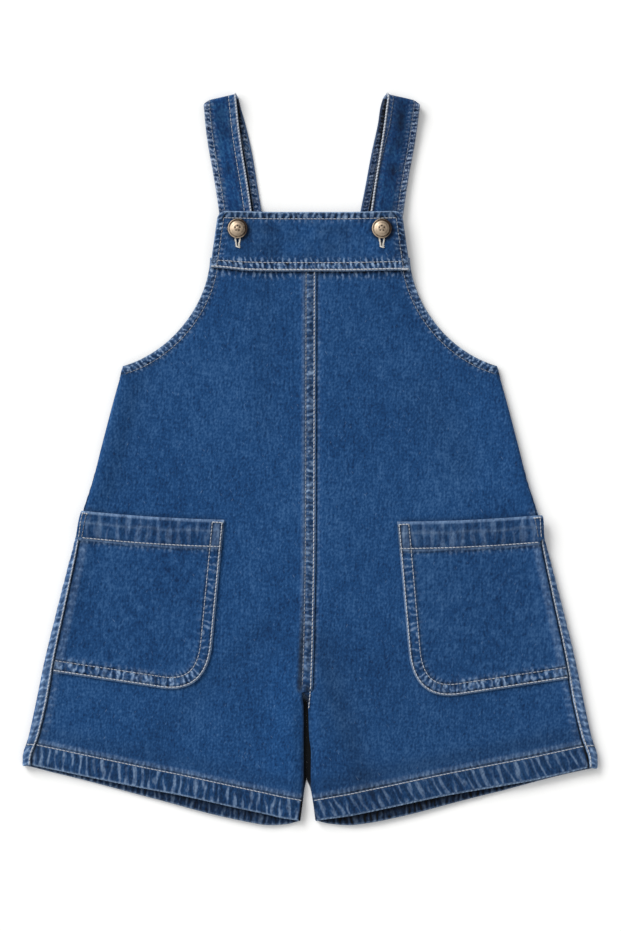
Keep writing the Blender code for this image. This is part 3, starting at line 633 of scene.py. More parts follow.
def denim(name, deep, middle, light, worn, weft):
    """Washed indigo denim: blue warp over white weft, so it is mottled, streaked along the warp, pale where
    it is rubbed, and pale on the inside. Cotton is rough, and its soft nap catches light at a low angle. Its
    colour is also darkened by the shade mark, which is painted shade."""
    material, shader = new_material(name)
    mark = {}
    for key in ("grain", "seam", "worn", "shade", "inside", "pucker"):
        out = "Vector" if key in ("grain", "seam") else "Fac"
        mark[key] = add(material, "ShaderNodeAttribute", None, out, attribute_name=key)
    noises = [weave_noise(material, mark["grain"], layer) for layer in WEAVE]
    colour = weighed(material, noises, [layer.colour for layer in WEAVE])
    relief = weighed(material, noises, [layer.relief for layer in WEAVE])
    cloth = add(material, "ShaderNodeValToRGB", {"Fac": colour})
    set_stops(cloth, (0.2, deep), (0.5, middle), (0.83, light))
    for layer in FLECKS:
        noise = weave_noise(material, mark["grain"], layer)
        inputs = {"Value": noise, "From Min": FLECK_EDGE, "From Max": FLECK_EDGE + 0.1, "To Max": FLECK_SHARE}
        fleck = add(material, "ShaderNodeMapRange", inputs)
        cloth = coated(material, cloth, [(fleck, linear(worn))])

    inputs = {"Scale": math.tau / 20, "Distortion": 4.0, "Detail": 1.0, "Detail Scale": 3.2}
    ridges = add(material, "ShaderNodeTexWave", {"Vector": mark["seam"], **inputs}, "Fac")
    inputs = {"Vector": mark["seam"], "Scale": 1.9, "Detail": 2.0, "Roughness": 0.5}
    pattern = weighed(material, [ridges, add(material, "ShaderNodeTexNoise", inputs)], [0.55, 1.3])
    for key, reach, most in (("worn", PALE_PUCKERS, 1.0), ("shade", DARK_PUCKERS, PUCKER_SHADE)):
        inputs = {"Value": pattern, "From Min": reach[0], "From Max": reach[1], "To Max": most}
        part = add(material, "ShaderNodeMapRange", inputs)
        inputs = {0: part, 1: mark["pucker"], 2: mark[key]}
        mark[key] = add(material, "ShaderNodeMath", inputs, operation="MULTIPLY_ADD")
    inputs = {0: mark["pucker"], 1: PUCKER_RELIEF, 2: 0.0}
    inputs = {0: pattern, 1: add(material, "ShaderNodeMath", inputs, operation="MULTIPLY_ADD"), 2: relief}
    relief = add(material, "ShaderNodeMath", inputs, operation="MULTIPLY_ADD")

    inputs = {"Value": colour, "From Min": 0.25, "From Max": 0.75, "To Min": 0.35, "To Max": 1.15}
    inputs = {0: add(material, "ShaderNodeMapRange", inputs), 1: mark["worn"]}
    rubbed = add(material, "ShaderNodeMath", inputs, operation="MULTIPLY", use_clamp=True)
    cloth = coated(material, cloth, [(rubbed, linear(worn))])
    cloth = coated(material, cloth, [(mark["inside"], coated(material, cloth, [(colour, linear(weft))]))])
    # lit: painted shade from the shade mark and from the puckers' troughs darkens the cloth's colour
    lit = add(material, "ShaderNodeMath", {0: mark["shade"], 1: -0.72, 2: 1.0}, operation="MULTIPLY_ADD")
    give(shader, {
        "Base Color": add(material, "ShaderNodeVectorMath", {0: cloth, "Scale": lit}, operation="SCALE"),
        "Normal": add(material, "ShaderNodeBump", {"Height": relief, "Strength": 0.7, "Distance": 0.22 * MM}),
        "Roughness": 0.92,
        "Specular IOR Level": 0.22,
        "Sheen Weight": 0.06,
        "Sheen Roughness": 0.5,
        "Sheen Tint": linear("#8FA6C4"),
    })
    return material


WASHED_DENIM = denim("washed indigo denim", "#02274F", "#133F6E", "#345B88", "#8FA8C6", "#7F92A8")


def thread(name, hole, deep, ply):
    """Topstitching thread: spun polyester with a cotton wrap, ecru and a little uneven in tone, drawn greyer
    and then dark where it goes into its needle hole, which is painted shade."""
    material, shader = new_material(name)
    place = add(material, "ShaderNodeTexCoord", None, "Object")
    noise = add(material, "ShaderNodeTexNoise", {"Vector": place, "Scale": 900.0})
    tone = add(material, "ShaderNodeAttribute", None, "Fac", attribute_name="tone")
    tone = add(material, "ShaderNodeMath", {0: noise, 1: 0.4, 2: tone}, operation="MULTIPLY_ADD")
    colour = add(material, "ShaderNodeValToRGB", {"Fac": tone})
    # The darkest stop is painted shade at the needle holes, not the thread's own colour.
    set_stops(colour, (0.2, hole), (0.6, deep), (1.0, ply))
    give(shader, {"Base Color": colour, "Roughness": 0.7, "Sheen Weight": 0.2})
    return material


# The first colour is painted shade where the thread goes into its needle holes.
ECRU_THREAD = thread("ecru topstitching thread", "#0D1A2D", "#5A6474", "#ABB0B8")
STITCH_PHASES = [0.0, 0.08, 0.25, 0.5, 0.75, 0.92]


def new_sewing():
    """An empty mesh for rows of stitches."""
    mesh = bmesh.new()
    mesh.verts.layers.float.new("tone")
    return mesh


def sew(mesh, spot, seed, length=STITCH_LENGTH, radius=THREAD_RADIUS, bright=1.0, dip=0.7):
    """A row of lockstitches: a thread that lies on the cloth and dips into it between the stitches, where
    it is painted darker as shade. spot(t, above) gives the row's points, for t from 0 to 1 along it."""
    draw = np.random.default_rng(seed)
    t = np.linspace(0.0, 1.0, 500)
    line = spot(t, np.zeros(len(t)))
    run = np.concatenate([[0.0], np.cumsum(np.linalg.norm(np.diff(line, axis=0), axis=1))])
    count = max(1, round(run[-1] / length))
    phase = np.append(np.tile(STITCH_PHASES, count), 1.0)
    number = np.append(np.repeat(np.arange(count), len(STITCH_PHASES)), count - 1)
    ends = np.arange(count + 1) + np.append(0.0, np.append(draw.uniform(-0.12, 0.12, count - 1), 0.0))
    along = (ends[number] + (ends[number + 1] - ends[number]) * phase) * run[-1] / count
    at = np.interp(along, run, t)
    arch = np.sqrt(np.sin(np.pi * phase))
    centre = spot(at, radius * (0.65 - 1.5 * dip * (1 - arch)))
    up = spot(at, np.full(len(at), 1.0)) - spot(at, np.zeros(len(at)))
    up = up / np.linalg.norm(up, axis=1)[:, None]
    slope = np.gradient(line, t, axis=0)
    ahead = np.stack([np.interp(at, t, slope[:, axis]) for axis in range(3)], axis=-1)
    sideways = np.cross(ahead, up)
    sideways = sideways / np.linalg.norm(sideways, axis=1)[:, None]
    slant = radius * 0.9 * (phase - 0.5) * draw.uniform(0.2, 1.0, count)[number]
    centre = centre + sideways * slant[:, None]
    thick = radius * (0.4 + 0.6 * arch)
    thick[[0, -1]] = 0.0
    sunk_shade = 1 - np.clip(1.5 * arch - 0.25, 0.0, 1.0)
    # Each stitch's tone is uneven and set by the row's bright, and painted shade darkens it where the thread
    # sinks into the cloth.
    tone = bright * draw.uniform(0.72, 1.0, count)[number] * (1 - dip * sunk_shade)
    grid = bmesh.ops.create_grid(mesh, x_segments=THREAD_SIDES, y_segments=len(at) - 1, size=1.0)
    layer = mesh.verts.layers.float["tone"]
    for vert in grid["verts"]:
        turn = (vert.co.x + 1) * math.pi
        ring = round((1 - vert.co.y) / 2 * (len(at) - 1))
        offset = thick[ring] * (math.cos(turn) * sideways[ring] + math.sin(turn) * up[ring])
        vert[layer] = tone[ring]
        vert.co = Vector(centre[ring] + offset) * MM


def finish_sewing(name, mesh, material):
    """The rows become one piece that goes with the cloth."""
    bmesh.ops.remove_doubles(mesh, verts=mesh.verts[:], dist=WELD)
    bmesh.ops.recalc_face_normals(mesh, faces=mesh.faces[:])
    made = into_scene(name, mesh, material)
    made.data.shade_smooth()
    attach(made, "root")
    return made


# Close places beside a front's two long edges, for the seams
FRONT_NEAR = [0.0, 0.4, 0.9, 1.4, 2.0, 2.6, 3.3, 4.3, 5.4, 6.5, 7.5, 8.2, 8.8, 9.4, 10.2, 11.3]
FRONT_NEAR += [12.6, 14.2, 16.0]
FRONT_FAR = [0.0, 0.4, 0.9, 1.6, 2.4, 3.3, 4.3, 5.4, 6.6, 8.0, 9.6, 11.4, 13.4]
FRONT_CUT = Cut(0.0, 0.0, 0.0, 50.0)
LAP_END_ROWS = (-184.9, -187.4)  # closer rows, because the edge steps back here
FRONT_KEY_YS = [FRONT_TOP_Y, BAND_FOOT_Y, UNDERARM_Y, *LAP_END_ROWS, HEM_INNER_Y + HEM_DEPTH + 1.0]
FULL_WIDTH = 110.0
FRONT_STEPS = [1.8, 1.45, 1.75, 0.25, 1.75]
HEM_DEPTHS = [17.2, 16.5, 15.9, 15.3, 14.3, 13.1, 11.8, 10.5, 9.2, 7.9, 6.6, 5.3, 4.0]
HEM_DEPTHS += [2.8, 1.8, 1.0, 0.4, 0.0]


def panel_rows(keys, steps):
    """A panel's rows through its key places, about a step apart, and down its hem."""
    rows = [keys[0]]
    for top, foot, step in zip(keys, keys[1:], steps):
        rows += list(np.linspace(top, foot, max(2, round((top - foot) / step)) + 1)[1:])
    return np.array(rows + [HEM_INNER_Y + depth for depth in HEM_DEPTHS])


def across_places(column, columns, width, near, far):
    """Distances across a width: set ones near both edges and even ones between."""
    first = len(near) - 1
    last = columns - len(far) + 1
    even = near[-1] + (width - far[-1] - near[-1]) * (column - first) / (last - first)
    near_places = np.array(near)[np.clip(column, 0, first)]
    far_places = width - np.array(far)[np.clip(columns - column, 0, len(far) - 1)]
    return np.where(column <= first, near_places, np.where(column >= last, far_places, even))


def panel_across(column, columns, width, near, far):
    """The same across a panel, drawn together where it is narrow."""
    narrow = np.minimum(1.0, width / FULL_WIDTH)
    return across_places(column, columns, width / narrow, near, far) * narrow


def front_panel(side):
    """One front panel, with its turned hems."""
    rows = panel_rows(FRONT_KEY_YS, FRONT_STEPS)
    columns = 124

    def place(column, row, is_upper):
        inner = rows[row]
        width = front_width(side, inner)
        across = panel_across(column, columns, width, FRONT_NEAR, FRONT_FAR)
        out, y = front_spot(side, across, inner)
        lift, worn, shade, zones = front_relief(side, across, inner)
        edge = np.minimum(np.minimum(across, width - across), inner - HEM_INNER_Y)
        drop = rounded_edge(edge, EDGE_RADIUS)
        base = np.where(lift < 0, lift, lift * (across < LAP_WIDTH + LAP_SLOPE) * (side == "left"))
        above = np.where(is_upper, lift - drop, np.minimum(base, lift) - CLOTH + drop)
        points = body_point(side, out, y, above)
        grain = in_weave(SIDES[side] * out, y, is_upper, FRONT_CUT)
        return points, grain, worn * is_upper, shade, 1.0 - is_upper, strongest(zones, is_upper)

    return cloth_shell("front_panel_cloth_" + side, columns, len(rows) - 1, WASHED_DENIM, place)


def straight_row(side, start, end):
    """A row's points from one (across, inner) place to another."""

    def spot(t, above):
        across, inner = (first + (last - first) * t for first, last in zip(start, end))
        return front_point(side, across, inner, above)

    return spot


def offset_path(path, distance):
    """A path moved to its right."""
    points = np.array(path)
    ahead = np.gradient(points, axis=0)
    ahead = ahead / np.linalg.norm(ahead, axis=1)[:, None]
    return points + distance * np.stack([ahead[:, 1], -ahead[:, 0]], axis=-1)


def along_path(path, t):
    """Points at even shares of a path's length."""
    run = np.concatenate([[0.0], np.cumsum(np.linalg.norm(np.diff(path, axis=0), axis=1))])
    return [np.interp(t * run[-1], run, path[:, axis]) for axis in (0, 1)]


def front_at(side, out, y, above):
    """A point above the front's face, from out and y."""
    inner = y
    for _ in range(4):
        share = (out - middle_edge(side, side, inner)) / front_width(side, inner)
        inner = inner + (y - inner - (outer_y(inner) - inner) * share)
    return front_point(side, out - middle_edge(side, side, inner), inner, above)


ARM_STITCH_END = 155.5
LAP_ROWS_TOP_Y = 150.0
LAP_FEET = (-184.6, -182.4)
LAP_RUN_ON = ((0.3, LAP_FEET[0] - 0.2), (-1.3, -15.0))  # start and run of the row beside the slit, out and y


def sew_front(side):
    """The lap's two rows, the armhole's row and the hem's row."""
    mesh = new_sewing()
    if side == "left":
        for k, stitch in enumerate(LAP_STITCHES):
            row = straight_row(side, (stitch, LAP_ROWS_TOP_Y), (stitch, LAP_FEET[k]))
            sew(mesh, row, 100 + k, radius=(0.46, 0.32)[k], bright=(1.1, 0.62)[k], dip=(0.75, 0.85)[k])
    else:
        (out, y), (out_run, y_run) = LAP_RUN_ON
        sew(mesh, lambda t, above: front_at(side, out + out_run * t, y + y_run * t, above), 99, radius=0.42)
    path = offset_path(ARM_PATH, ARM_STITCH)
    path = path[path[:, 0] < ARM_STITCH_END]

    def arm_spot(t, above):
        out, y = along_path(path, t)
        return front_at(side, out, np.minimum(y, BAND_FOOT_Y + 2.0), above)

    sew(mesh, arm_spot, 102, radius=0.28, bright=0.65, dip=0.9)
    hem = HEM_INNER_Y + HEM_STITCH
    width = float(front_width(side, np.array([hem]))[0])
    row = straight_row(side, (0.6, hem), (width - 0.4, hem))
    sew(mesh, row, 103, radius=0.38, bright=0.95, dip=0.35)
    return finish_sewing("front_stitching_" + side, mesh, ECRU_THREAD)


for side in SIDES:
    cloth = front_panel(side)
    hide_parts("front_panel_" + side)
    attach(cloth, "root")
    rows = sew_front(side)

# Patch pockets: one layer of the same denim, its top turned down in a broad hem, its other edges turned in.
# Two rows of stitches hold the inner side and the foot to the front, and the outer edge is in the side seam.
POCKET_ROUND_SIDE = 42.0
POCKET_ROUND_FOOT = 38.0
POCKET_STRAIGHT_SHARE = 0.68
POCKET_CURVE_SHARE = 0.26
POCKET_BAND = 22.6
POCKET_BAND_STITCH = 21.5
POCKET_BAND_RISE = 0.7
POCKET_BAND_FOOT_Y = -66.0
POCKET_BAND_SLOPE = 3.0
POCKET_STAND_OFF = {"left": 0.0, "right": 2.4}
POCKET_STITCHES = (1.5, 9.3)
POCKET_CUT = Cut(7.0, 11.0, 9.0, 70.0)
POCKET_TURN = 10.6
POCKET_TURN_RISE = 0.35


def seam_out(y):
    """How far out a pocket reaches: to the side seam, or round the fold where the seam is over the edge."""
    seam = np.clip(read(SIDE_ROWS, "seam", y), 0.0, None)
    at_band = ease((y - POCKET_BAND_FOOT_Y) / POCKET_BAND_SLOPE)
    at_top = ease((y - POCKET_BAND_FOOT_Y) / POCKET_BAND)
    reach = POCKET_REACH[0] + (POCKET_REACH[1] - POCKET_REACH[0]) * at_top
    return fold_top(y) - (seam + SEAM_GAP) * (1 - at_band) + reach * at_band


def stand_off(side, out, y):
    """How far the outer end of a pocket's band stands off the side fold."""
    up_band = ease((y - POCKET_BAND_FOOT_Y) / POCKET_BAND)
    return POCKET_STAND_OFF[side] * up_band * ease((out - fold_top(y) + 5.0) / 8.0)


Corners = namedtuple("Corners", "top_inner top_outer corner foot_outer round_top round_foot slope down")


def pocket_corners(shape):
    """A pocket's corners, the straight parts' ends beside its rounded one, and its top's two directions."""
    corner = np.array([shape.corner, shape.corner_y])
    top_inner = np.array([shape.top_inner, shape.top_inner_y])
    outer_ys = np.array([shape.top_outer_y, shape.foot_outer_y])
    top_outer, foot_outer = np.stack([seam_out(outer_ys), outer_ys], axis=-1)
    round_top = corner + (top_inner - corner) / np.linalg.norm(top_inner - corner) * POCKET_ROUND_SIDE
    round_foot = corner + (foot_outer - corner) / np.linalg.norm(foot_outer - corner) * POCKET_ROUND_FOOT
    slope = (top_outer - top_inner) / np.linalg.norm(top_outer - top_inner)
    down = np.array([slope[1], -slope[0]])
    return Corners(top_inner, top_outer, corner, foot_outer, round_top, round_foot, slope, down)


CORNERS = {side: pocket_corners(shape) for side, shape in POCKETS.items()}


def pocket_round(side, t):
    """The rounded corner."""
    at = CORNERS[side]
    ends = np.outer((1 - t) ** 2, at.round_top) + np.outer(t * t, at.round_foot)
    return ends + np.outer(2 * t * (1 - t), at.corner)


def pocket_side(side, v):
    """The inner side, down to the middle of the rounded corner."""
    at = CORNERS[side]
    straight = POCKET_STRAIGHT_SHARE
    t = np.clip((v - straight) / (1 - straight), 0.0, 1.0) / 2
    line = at.top_inner + np.outer(np.clip(v / straight, 0.0, 1.0), at.round_top - at.top_inner)
    return np.where((v < straight)[:, None], line, pocket_round(side, t))


def pocket_foot(side, u):
    """The foot, out from the middle of the rounded corner."""
    at = CORNERS[side]
    curve = POCKET_CURVE_SHARE
    t = 0.5 + np.clip(u / curve, 0.0, 1.0) / 2
    line = at.round_foot + np.outer((u - curve) / (1 - curve), at.foot_outer - at.round_foot)
    return np.where((u > curve)[:, None], line, pocket_round(side, t))


def pocket_edge(side):
    """The pocket's inner side, rounded corner and foot as one path."""
    at = CORNERS[side]
    curve = pocket_round(side, np.linspace(0.0, 1.0, 25))
    straight = at.top_inner + np.outer(np.linspace(0.0, 1.0, 12)[:-1], at.round_top - at.top_inner)
    foot = at.round_foot + np.outer(np.linspace(0.0, 1.0, 14)[1:], at.foot_outer - at.round_foot)
    return np.concatenate([straight, curve, foot])


POCKET_EDGES = {side: pocket_edge(side) for side in SIDES}


def pocket_relief(side, out, y):
    """The same four for a pocket's face."""
    at = CORNERS[side]
    seed = 70 if side == "left" else 90
    edge, along = nearest_on(POCKET_EDGES[side], out, y)
    off = np.stack([out, y], axis=-1) - at.top_inner
    down = off @ at.down - mouth_sag(side, out)[1]
    across = off @ at.slope
    off_seam = seam_out(y) - out
    band = 1 - ease((down - POCKET_BAND) / 1.2)
    lift = POCKET_BAND_RISE * band + POCKET_TURN_RISE * (1 - band) * (1 - ease((edge - POCKET_TURN) / 2.0))
    # The first term, a pale line along the top edge, is rubbed wear and a painted highlight on the fold,
    # fainter on the right pocket. The second is the rubbed turned edge.
    worn = (0.95 - 0.15 * (side == "right")) * bump(down - 0.7, 0.85) + 0.8 * bump(edge - 0.6, 0.7)
    shade = 0.02 + 0.12 * (side == "right") + 0.2 * band * ease((down - 1.5) / 1.5)

    # The band at the top
    ridges = puckers(across, 0.3 * down, 8.5, seed + 1)
    wavy = bump(down - 9.3 - 0.8 * uneven(across, 40.0, seed + 2), 1.0)
    zone = between(down, 3.0, POCKET_BAND_STITCH - 1.5, 3.0)
    zones = [Zone(0.26 * zone, across / 8.0, down / 24.0)]
    lift += zone * (0.14 * ridges + 0.12 * wavy)
    worn += (0.24 * wavy + 0.07 * np.clip(ridges, 0, 1)) * zone
    shade += 0.12 * np.clip(-ridges, 0, 1) * zone
    tack = band * past(down, 3.0, 1.0)
    worn += 0.25 * tack * between(edge, 3.2, POCKET_STITCHES[1] - 1.8, 0.8)
    for stitch in POCKET_STITCHES:
        shade += 0.8 * tack * bump(edge - stitch, 1.1)

    # The turned edges, with stronger puckers along the foot, and then the open cloth
    foot_side = ease((along - 110.0) / 40.0)
    ridges = puckers(along, edge, 6.0, seed + 3)
    zone = between(edge, POCKET_STITCHES[0] + 0.8, POCKET_STITCHES[1] - 0.8, 1.2) * (1 - band)
    beyond = between(edge, POCKET_STITCHES[1] + 0.8, POCKET_STITCHES[1] + 1.2, 4.5) * (1 - band)
    strength = (0.5 + 0.3 * foot_side) * zone + (0.2 + 0.3 * foot_side) * beyond
    zones.append(Zone(strength, along / 5.6, edge / 6.0))
    lift += (0.12 + 0.08 * foot_side) * ridges * zone + 0.08 * ridges * beyond
    worn += np.clip(ridges, 0, 1) * (0.38 * zone + 0.2 * beyond) * foot_side
    shade += np.clip(-ridges, 0, 1) * 0.32 * foot_side * zone
    for stitch in POCKET_STITCHES:
        lift -= 0.18 * bump(edge - stitch, 0.7)
        beside = 0.75 * bump(edge - stitch - 1.0, 0.7) + 0.35 * bump(edge - stitch + 0.9, 0.5)
        shade += beside * (1 - band)
    lift -= 0.2 * bump(down - POCKET_BAND_STITCH, 0.7)
    shade += 0.35 * bump(down - POCKET_BAND_STITCH + 1.1, 0.7)
    shade += 0.6 * bump(down - POCKET_BAND_STITCH - 3.0, 1.0)
    shade += 0.85 * bump(off_seam - 0.1, 0.9) * (1 - band)
    zones.append(Zone(0.45 * between(down, 22.0, 24.0, 5.0) * (1 - band), across / 4.4, down / 5.0))
    zones.append(Zone(0.2 * between(off_seam, 2.0, 5.0, 3.5) * (1 - band), y / 7.0, off_seam / 6.0))
    worn += 0.45 * bump(down - POCKET_BAND_STITCH - 1.3, 0.8)
    worn += 0.14 * between(off_seam, 2.5, 5.0, 2.5) * (1 - band)
    open_cloth = past(edge, 16.0, 8.0) * (1 - band) * past(off_seam, 8.0, 6.0)
    soft = mottle(out, y, 24.0, seed + 5) + 0.5 * mottle(out, y, 10.0, seed + 6)
    lift += 0.08 * soft * open_cloth
    return lift, np.clip(worn, 0, 1), np.clip(shade, 0, 1), zones


def pocket_point(side, out, y, above):
    """A point above a pocket's face."""
    lift = pocket_relief(side, out, y)[0] + stand_off(side, out, y)
    return body_point(side, out, y, LAY_GAP + CLOTH + lift + above)


def pocket_cloth(side):
    """One patch pocket."""
    columns = 100
    rows = 100
    at = CORNERS[side]
    low_corner = pocket_round(side, np.array([0.5]))[0]

    def place(column, row, is_upper):
        u = column / columns
        v = row / rows
        y = at.top_outer[1] + (at.foot_outer[1] - at.top_outer[1]) * v
        outer = np.stack([seam_out(y), y], axis=-1)
        top = at.top_inner + np.outer(u, at.top_outer - at.top_inner)
        top[:, 1] -= mouth_sag(side, top[:, 0])[1]
        sides = pocket_side(side, v) * (1 - u)[:, None] + outer * u[:, None]
        ends = top * (1 - v)[:, None] + pocket_foot(side, u) * v[:, None]
        corners = np.outer((1 - u) * (1 - v), at.top_inner) + np.outer(u * (1 - v), at.top_outer)
        corners += np.outer((1 - u) * v, low_corner) + np.outer(u * v, at.foot_outer)
        out, y = (sides + ends - corners).T
        lift, worn, shade, zones = pocket_relief(side, out, y)
        edge = nearest_on(POCKET_EDGES[side], out, y)[0]
        drop = np.where((row == 0) | (edge < 0.05), EDGE_RADIUS, rounded_edge(edge, EDGE_RADIUS))
        above = np.where(is_upper, LAY_GAP + CLOTH + lift - drop, LAY_GAP) + stand_off(side, out, y)
        points = body_point(side, out, y, above)
        grain = in_weave(SIDES[side] * out, y, is_upper, POCKET_CUT)
        return points, grain, worn * is_upper, shade, 1.0 - is_upper, strongest(zones, is_upper)

    return cloth_shell("pocket_cloth_" + side, columns, rows, WASHED_DENIM, place)


def sew_pocket(side):
    """Two rows round the side and foot, closed by a short one at the top corner, one under the band, and two
    short rows with a bar tack down the band's outer end."""
    mesh = new_sewing()
    at = CORNERS[side]

    def path_row(path):
        path = np.array(path, dtype=float)
        return lambda t, above: pocket_point(side, *along_path(path, t), above)

    for k, stitch in enumerate(POCKET_STITCHES):
        path = offset_path(POCKET_EDGES[side], -stitch)
        path = np.concatenate([[at.top_inner + at.slope * stitch + at.down * 1.8], path[2:]])
        path[:, 0] = np.minimum(path[:, 0], seam_out(path[:, 1]) - 0.4)
        sew(mesh, path_row(path), 200 + k, radius=(0.46, 0.33)[k], bright=(1.1, 0.85)[k], dip=(0.5, 0.7)[k])
    closing = [at.top_inner + at.slope * stitch + at.down * 2.4 for stitch in POCKET_STITCHES]
    sew(mesh, path_row(closing), 202, radius=0.5, bright=1.25)
    band_end = float(np.linalg.norm(at.top_outer - at.top_inner)) - 1.0
    first, last = (at.top_inner + at.slope * run + at.down * POCKET_BAND_STITCH for run in (1.2, band_end))
    row = np.linspace(first, last, 25)
    row[:, 1] -= mouth_sag(side, row[:, 0])[1]
    sew(mesh, path_row(row), 203, radius=0.44, bright=0.95, dip=0.5)
    y = np.linspace(at.top_outer[1] - 2.0, POCKET_BAND_FOOT_Y + 3.4, 9)
    for k, inset in enumerate((1.5, 3.8)):
        sew(mesh, path_row(np.stack([seam_out(y) - inset, y], axis=-1)), 204 + k, bright=(1.0, 0.5)[k])
    y = at.top_outer[1] - np.array([1.6, 2.4])
    tack = np.stack([seam_out(y) - np.array([1.0, 5.0]), y], axis=-1)
    sew(mesh, path_row(tack), 206, length=2.0, radius=0.6, bright=1.3)
    return finish_sewing("pocket_stitching_" + side, mesh, ECRU_THREAD)


for side in SIDES:
    cloth = pocket_cloth(side)
    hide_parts("pocket_" + side)
    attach(cloth, "root")
    rows = sew_pocket(side)

# Back panels: plain denim, flat on the surface, joined by the centre back seam. Their side edges come up
# round the side folds to the side seams, and their hems hang lower than the front's, so the inside shows.
BACK_ARMHOLE = [(69.0, 190.0), (71.0, 138.0), (103.0, 83.5), (146.8, 74.4)]
BACK_ARM_PATH = armhole_path(BACK_ARMHOLE)
BACK_TOP_Y = 190.0
BACK_CUT = Cut(-9.0, -23.0, 90.0, 130.0)
Drop = namedtuple("Drop", "share drop")
DROP_ROWS = [Drop(*row) for row in [
    (0.0, 0.0), (0.14, 0.5), (0.5, 5.8), (0.7, 9.0), (0.86, 9.6), (0.95, 6.6), (1.0, 1.8),
]]
DROP_REACH = 70.0
DROP_CURL = 0.17  # the dropped part of a hem curls up by this share of its drop
BACK_NEAR = [0.0, 0.4, 1.0, 2.0, 3.5, 5.5]
BACK_FAR = [0.0, 0.5, 1.2, *np.arange(2.0, 13.0), 13.2, 14.6, 16.0, 18.0]
BACK_KEY_YS = [BACK_TOP_Y, UNDERARM_Y, HEM_INNER_Y + HEM_DEPTH + 1.0]
BACK_STEPS = [2.6, 2.1]
SIDE_STITCH = 1.3
INSIDE_SHADE = {"left": 0.5, "right": 0.74}
STITCH_FALL = 0.45  # share of the edge's fall that the hem's row takes part in
SIDE_ROW_TOP_Y = -62.0


def back_panel(side):
    """One back panel."""
    rows = panel_rows(BACK_KEY_YS, BACK_STEPS)
    columns = 84
    seed = 120 if side == "left" else 140

    def place(column, row, is_upper):
        inner = rows[row]
        outer = outer_y(inner)
        edge = middle_edge(side, "back_" + side, inner)
        below_arm = outer <= UNDERARM_Y
        flat = fold_top(outer)
        turn = read(SIDE_ROWS, "fold_radius", outer) * math.pi
        round_width = flat + turn + read(SIDE_ROWS, "seam", outer) - SEAM_GAP / 2
        width = np.where(below_arm, round_width, armhole_out(BACK_ARM_PATH, inner)) - edge
        across = panel_across(column, columns, width, BACK_NEAR, BACK_FAR)
        out = edge + across
        share = across / width
        drop = read(DROP_ROWS, "drop", 1 - share) * ease((HEM_INNER_Y + DROP_REACH - inner) / DROP_REACH)
        drop += hem_fall("back_" + side, out, inner) * (1 - ease((out - flat) / turn))
        drop += hem_fall("front_" + side, flat, inner) * ease((out - flat) / turn)
        y = inner + (outer - inner) * share - drop
        depth = inner - HEM_INNER_Y
        seam = width - across
        hem = 1 - ease((depth - HEM_DEPTH + HEM_STEP / 2) / HEM_STEP)
        strip = ease(seam + 0.2) * (1 - ease((seam - 8.5) / 3.0)) * below_arm
        hem_ridges = puckers(across - 0.1 * depth, depth, 6.0, seed)
        strip_ridges = puckers(y + 0.25 * seam, seam, 6.2, seed + 1)
        felled = bump(seam - SIDE_STITCH, 1.0) * below_arm * (y < SIDE_ROW_TOP_Y)
        hem_zone = between(depth, 0.8, HEM_STITCH - 1.0, 1.2)
        inner_lift = HEM_RISE * hem + 0.2 * hem_ridges * hem_zone * (seam > 22.0)
        outer_lift = (0.22 * strip_ridges * strip + 0.3 * felled) * (seam < 16.0)
        edge_drop = rounded_edge(np.minimum(np.minimum(seam, depth), across + 5.0), EDGE_RADIUS)
        curl = DROP_CURL * drop * (1 - ease(depth / 30.0))
        flat_z = curl + np.where(is_upper, CLOTH + inner_lift - edge_drop, edge_drop)
        flat_point = np.stack([SIDES[side] * out, y, flat_z], axis=-1)
        round_inside = edge_drop - CLOTH - HEM_RISE * hem * (seam > 9.0)
        round_lift = np.where(is_upper, round_inside, outer_lift - edge_drop)
        round_point = body_point(side, 2 * flat + turn - out, y, round_lift)
        goes_round = below_arm & (out > flat)
        points = np.where(goes_round[:, None], round_point, flat_point)
        outer_worn = 0.15 * np.clip(strip_ridges, 0, 1) * strip + 0.6 * bump(depth - 0.5, 0.9) + 0.9 * felled
        outer_worn += 0.3 * strip * bump(seam - 6.5, 2.0)
        worn = np.where(is_upper, 0.6 * bump(depth - 0.5, 0.7), outer_worn)
        outer_shade = 0.2 * np.clip(-strip_ridges, 0, 1) * strip + 0.9 * bump(depth - HEM_STITCH - 1.2, 0.8)
        crotch = (1 - past(across, 10.0, 5.0)) * ease((CROTCH_Y - inner) / 4.0) * past(inner, -256.0, 10.0)
        inner_shade = 0.3 + INSIDE_SHADE[side] * hem * past(depth, 2.0, 3.0)
        inner_shade += 0.2 * hem * ease((depth - 2.0) / 6.0) + 1.1 * crotch
        zones = [
            Zone(0.6 * strip * ~is_upper, (y + 0.25 * seam) / 5.6, seam / 7.0),
            Zone(hem_zone * (0.6 - 0.3 * ease((depth - 4.0) / 6.0)) * is_upper, across / 5.0, depth / 14.0),
        ]
        shade = np.where(is_upper, inner_shade, outer_shade) + 0.9 * bump(seam + 0.1, 0.5) * below_arm
        grain = in_weave(SIDES[side] * out, y, is_upper, BACK_CUT)
        inside = np.where(is_upper, 1 - hem, 0.0)
        return points, grain, np.clip(worn, 0, 1), np.clip(shade, 0, 1.38), inside, strongest(zones, 1.0)

    return cloth_shell("back_panel_cloth_" + side, columns, len(rows) - 1, WASHED_DENIM, place)


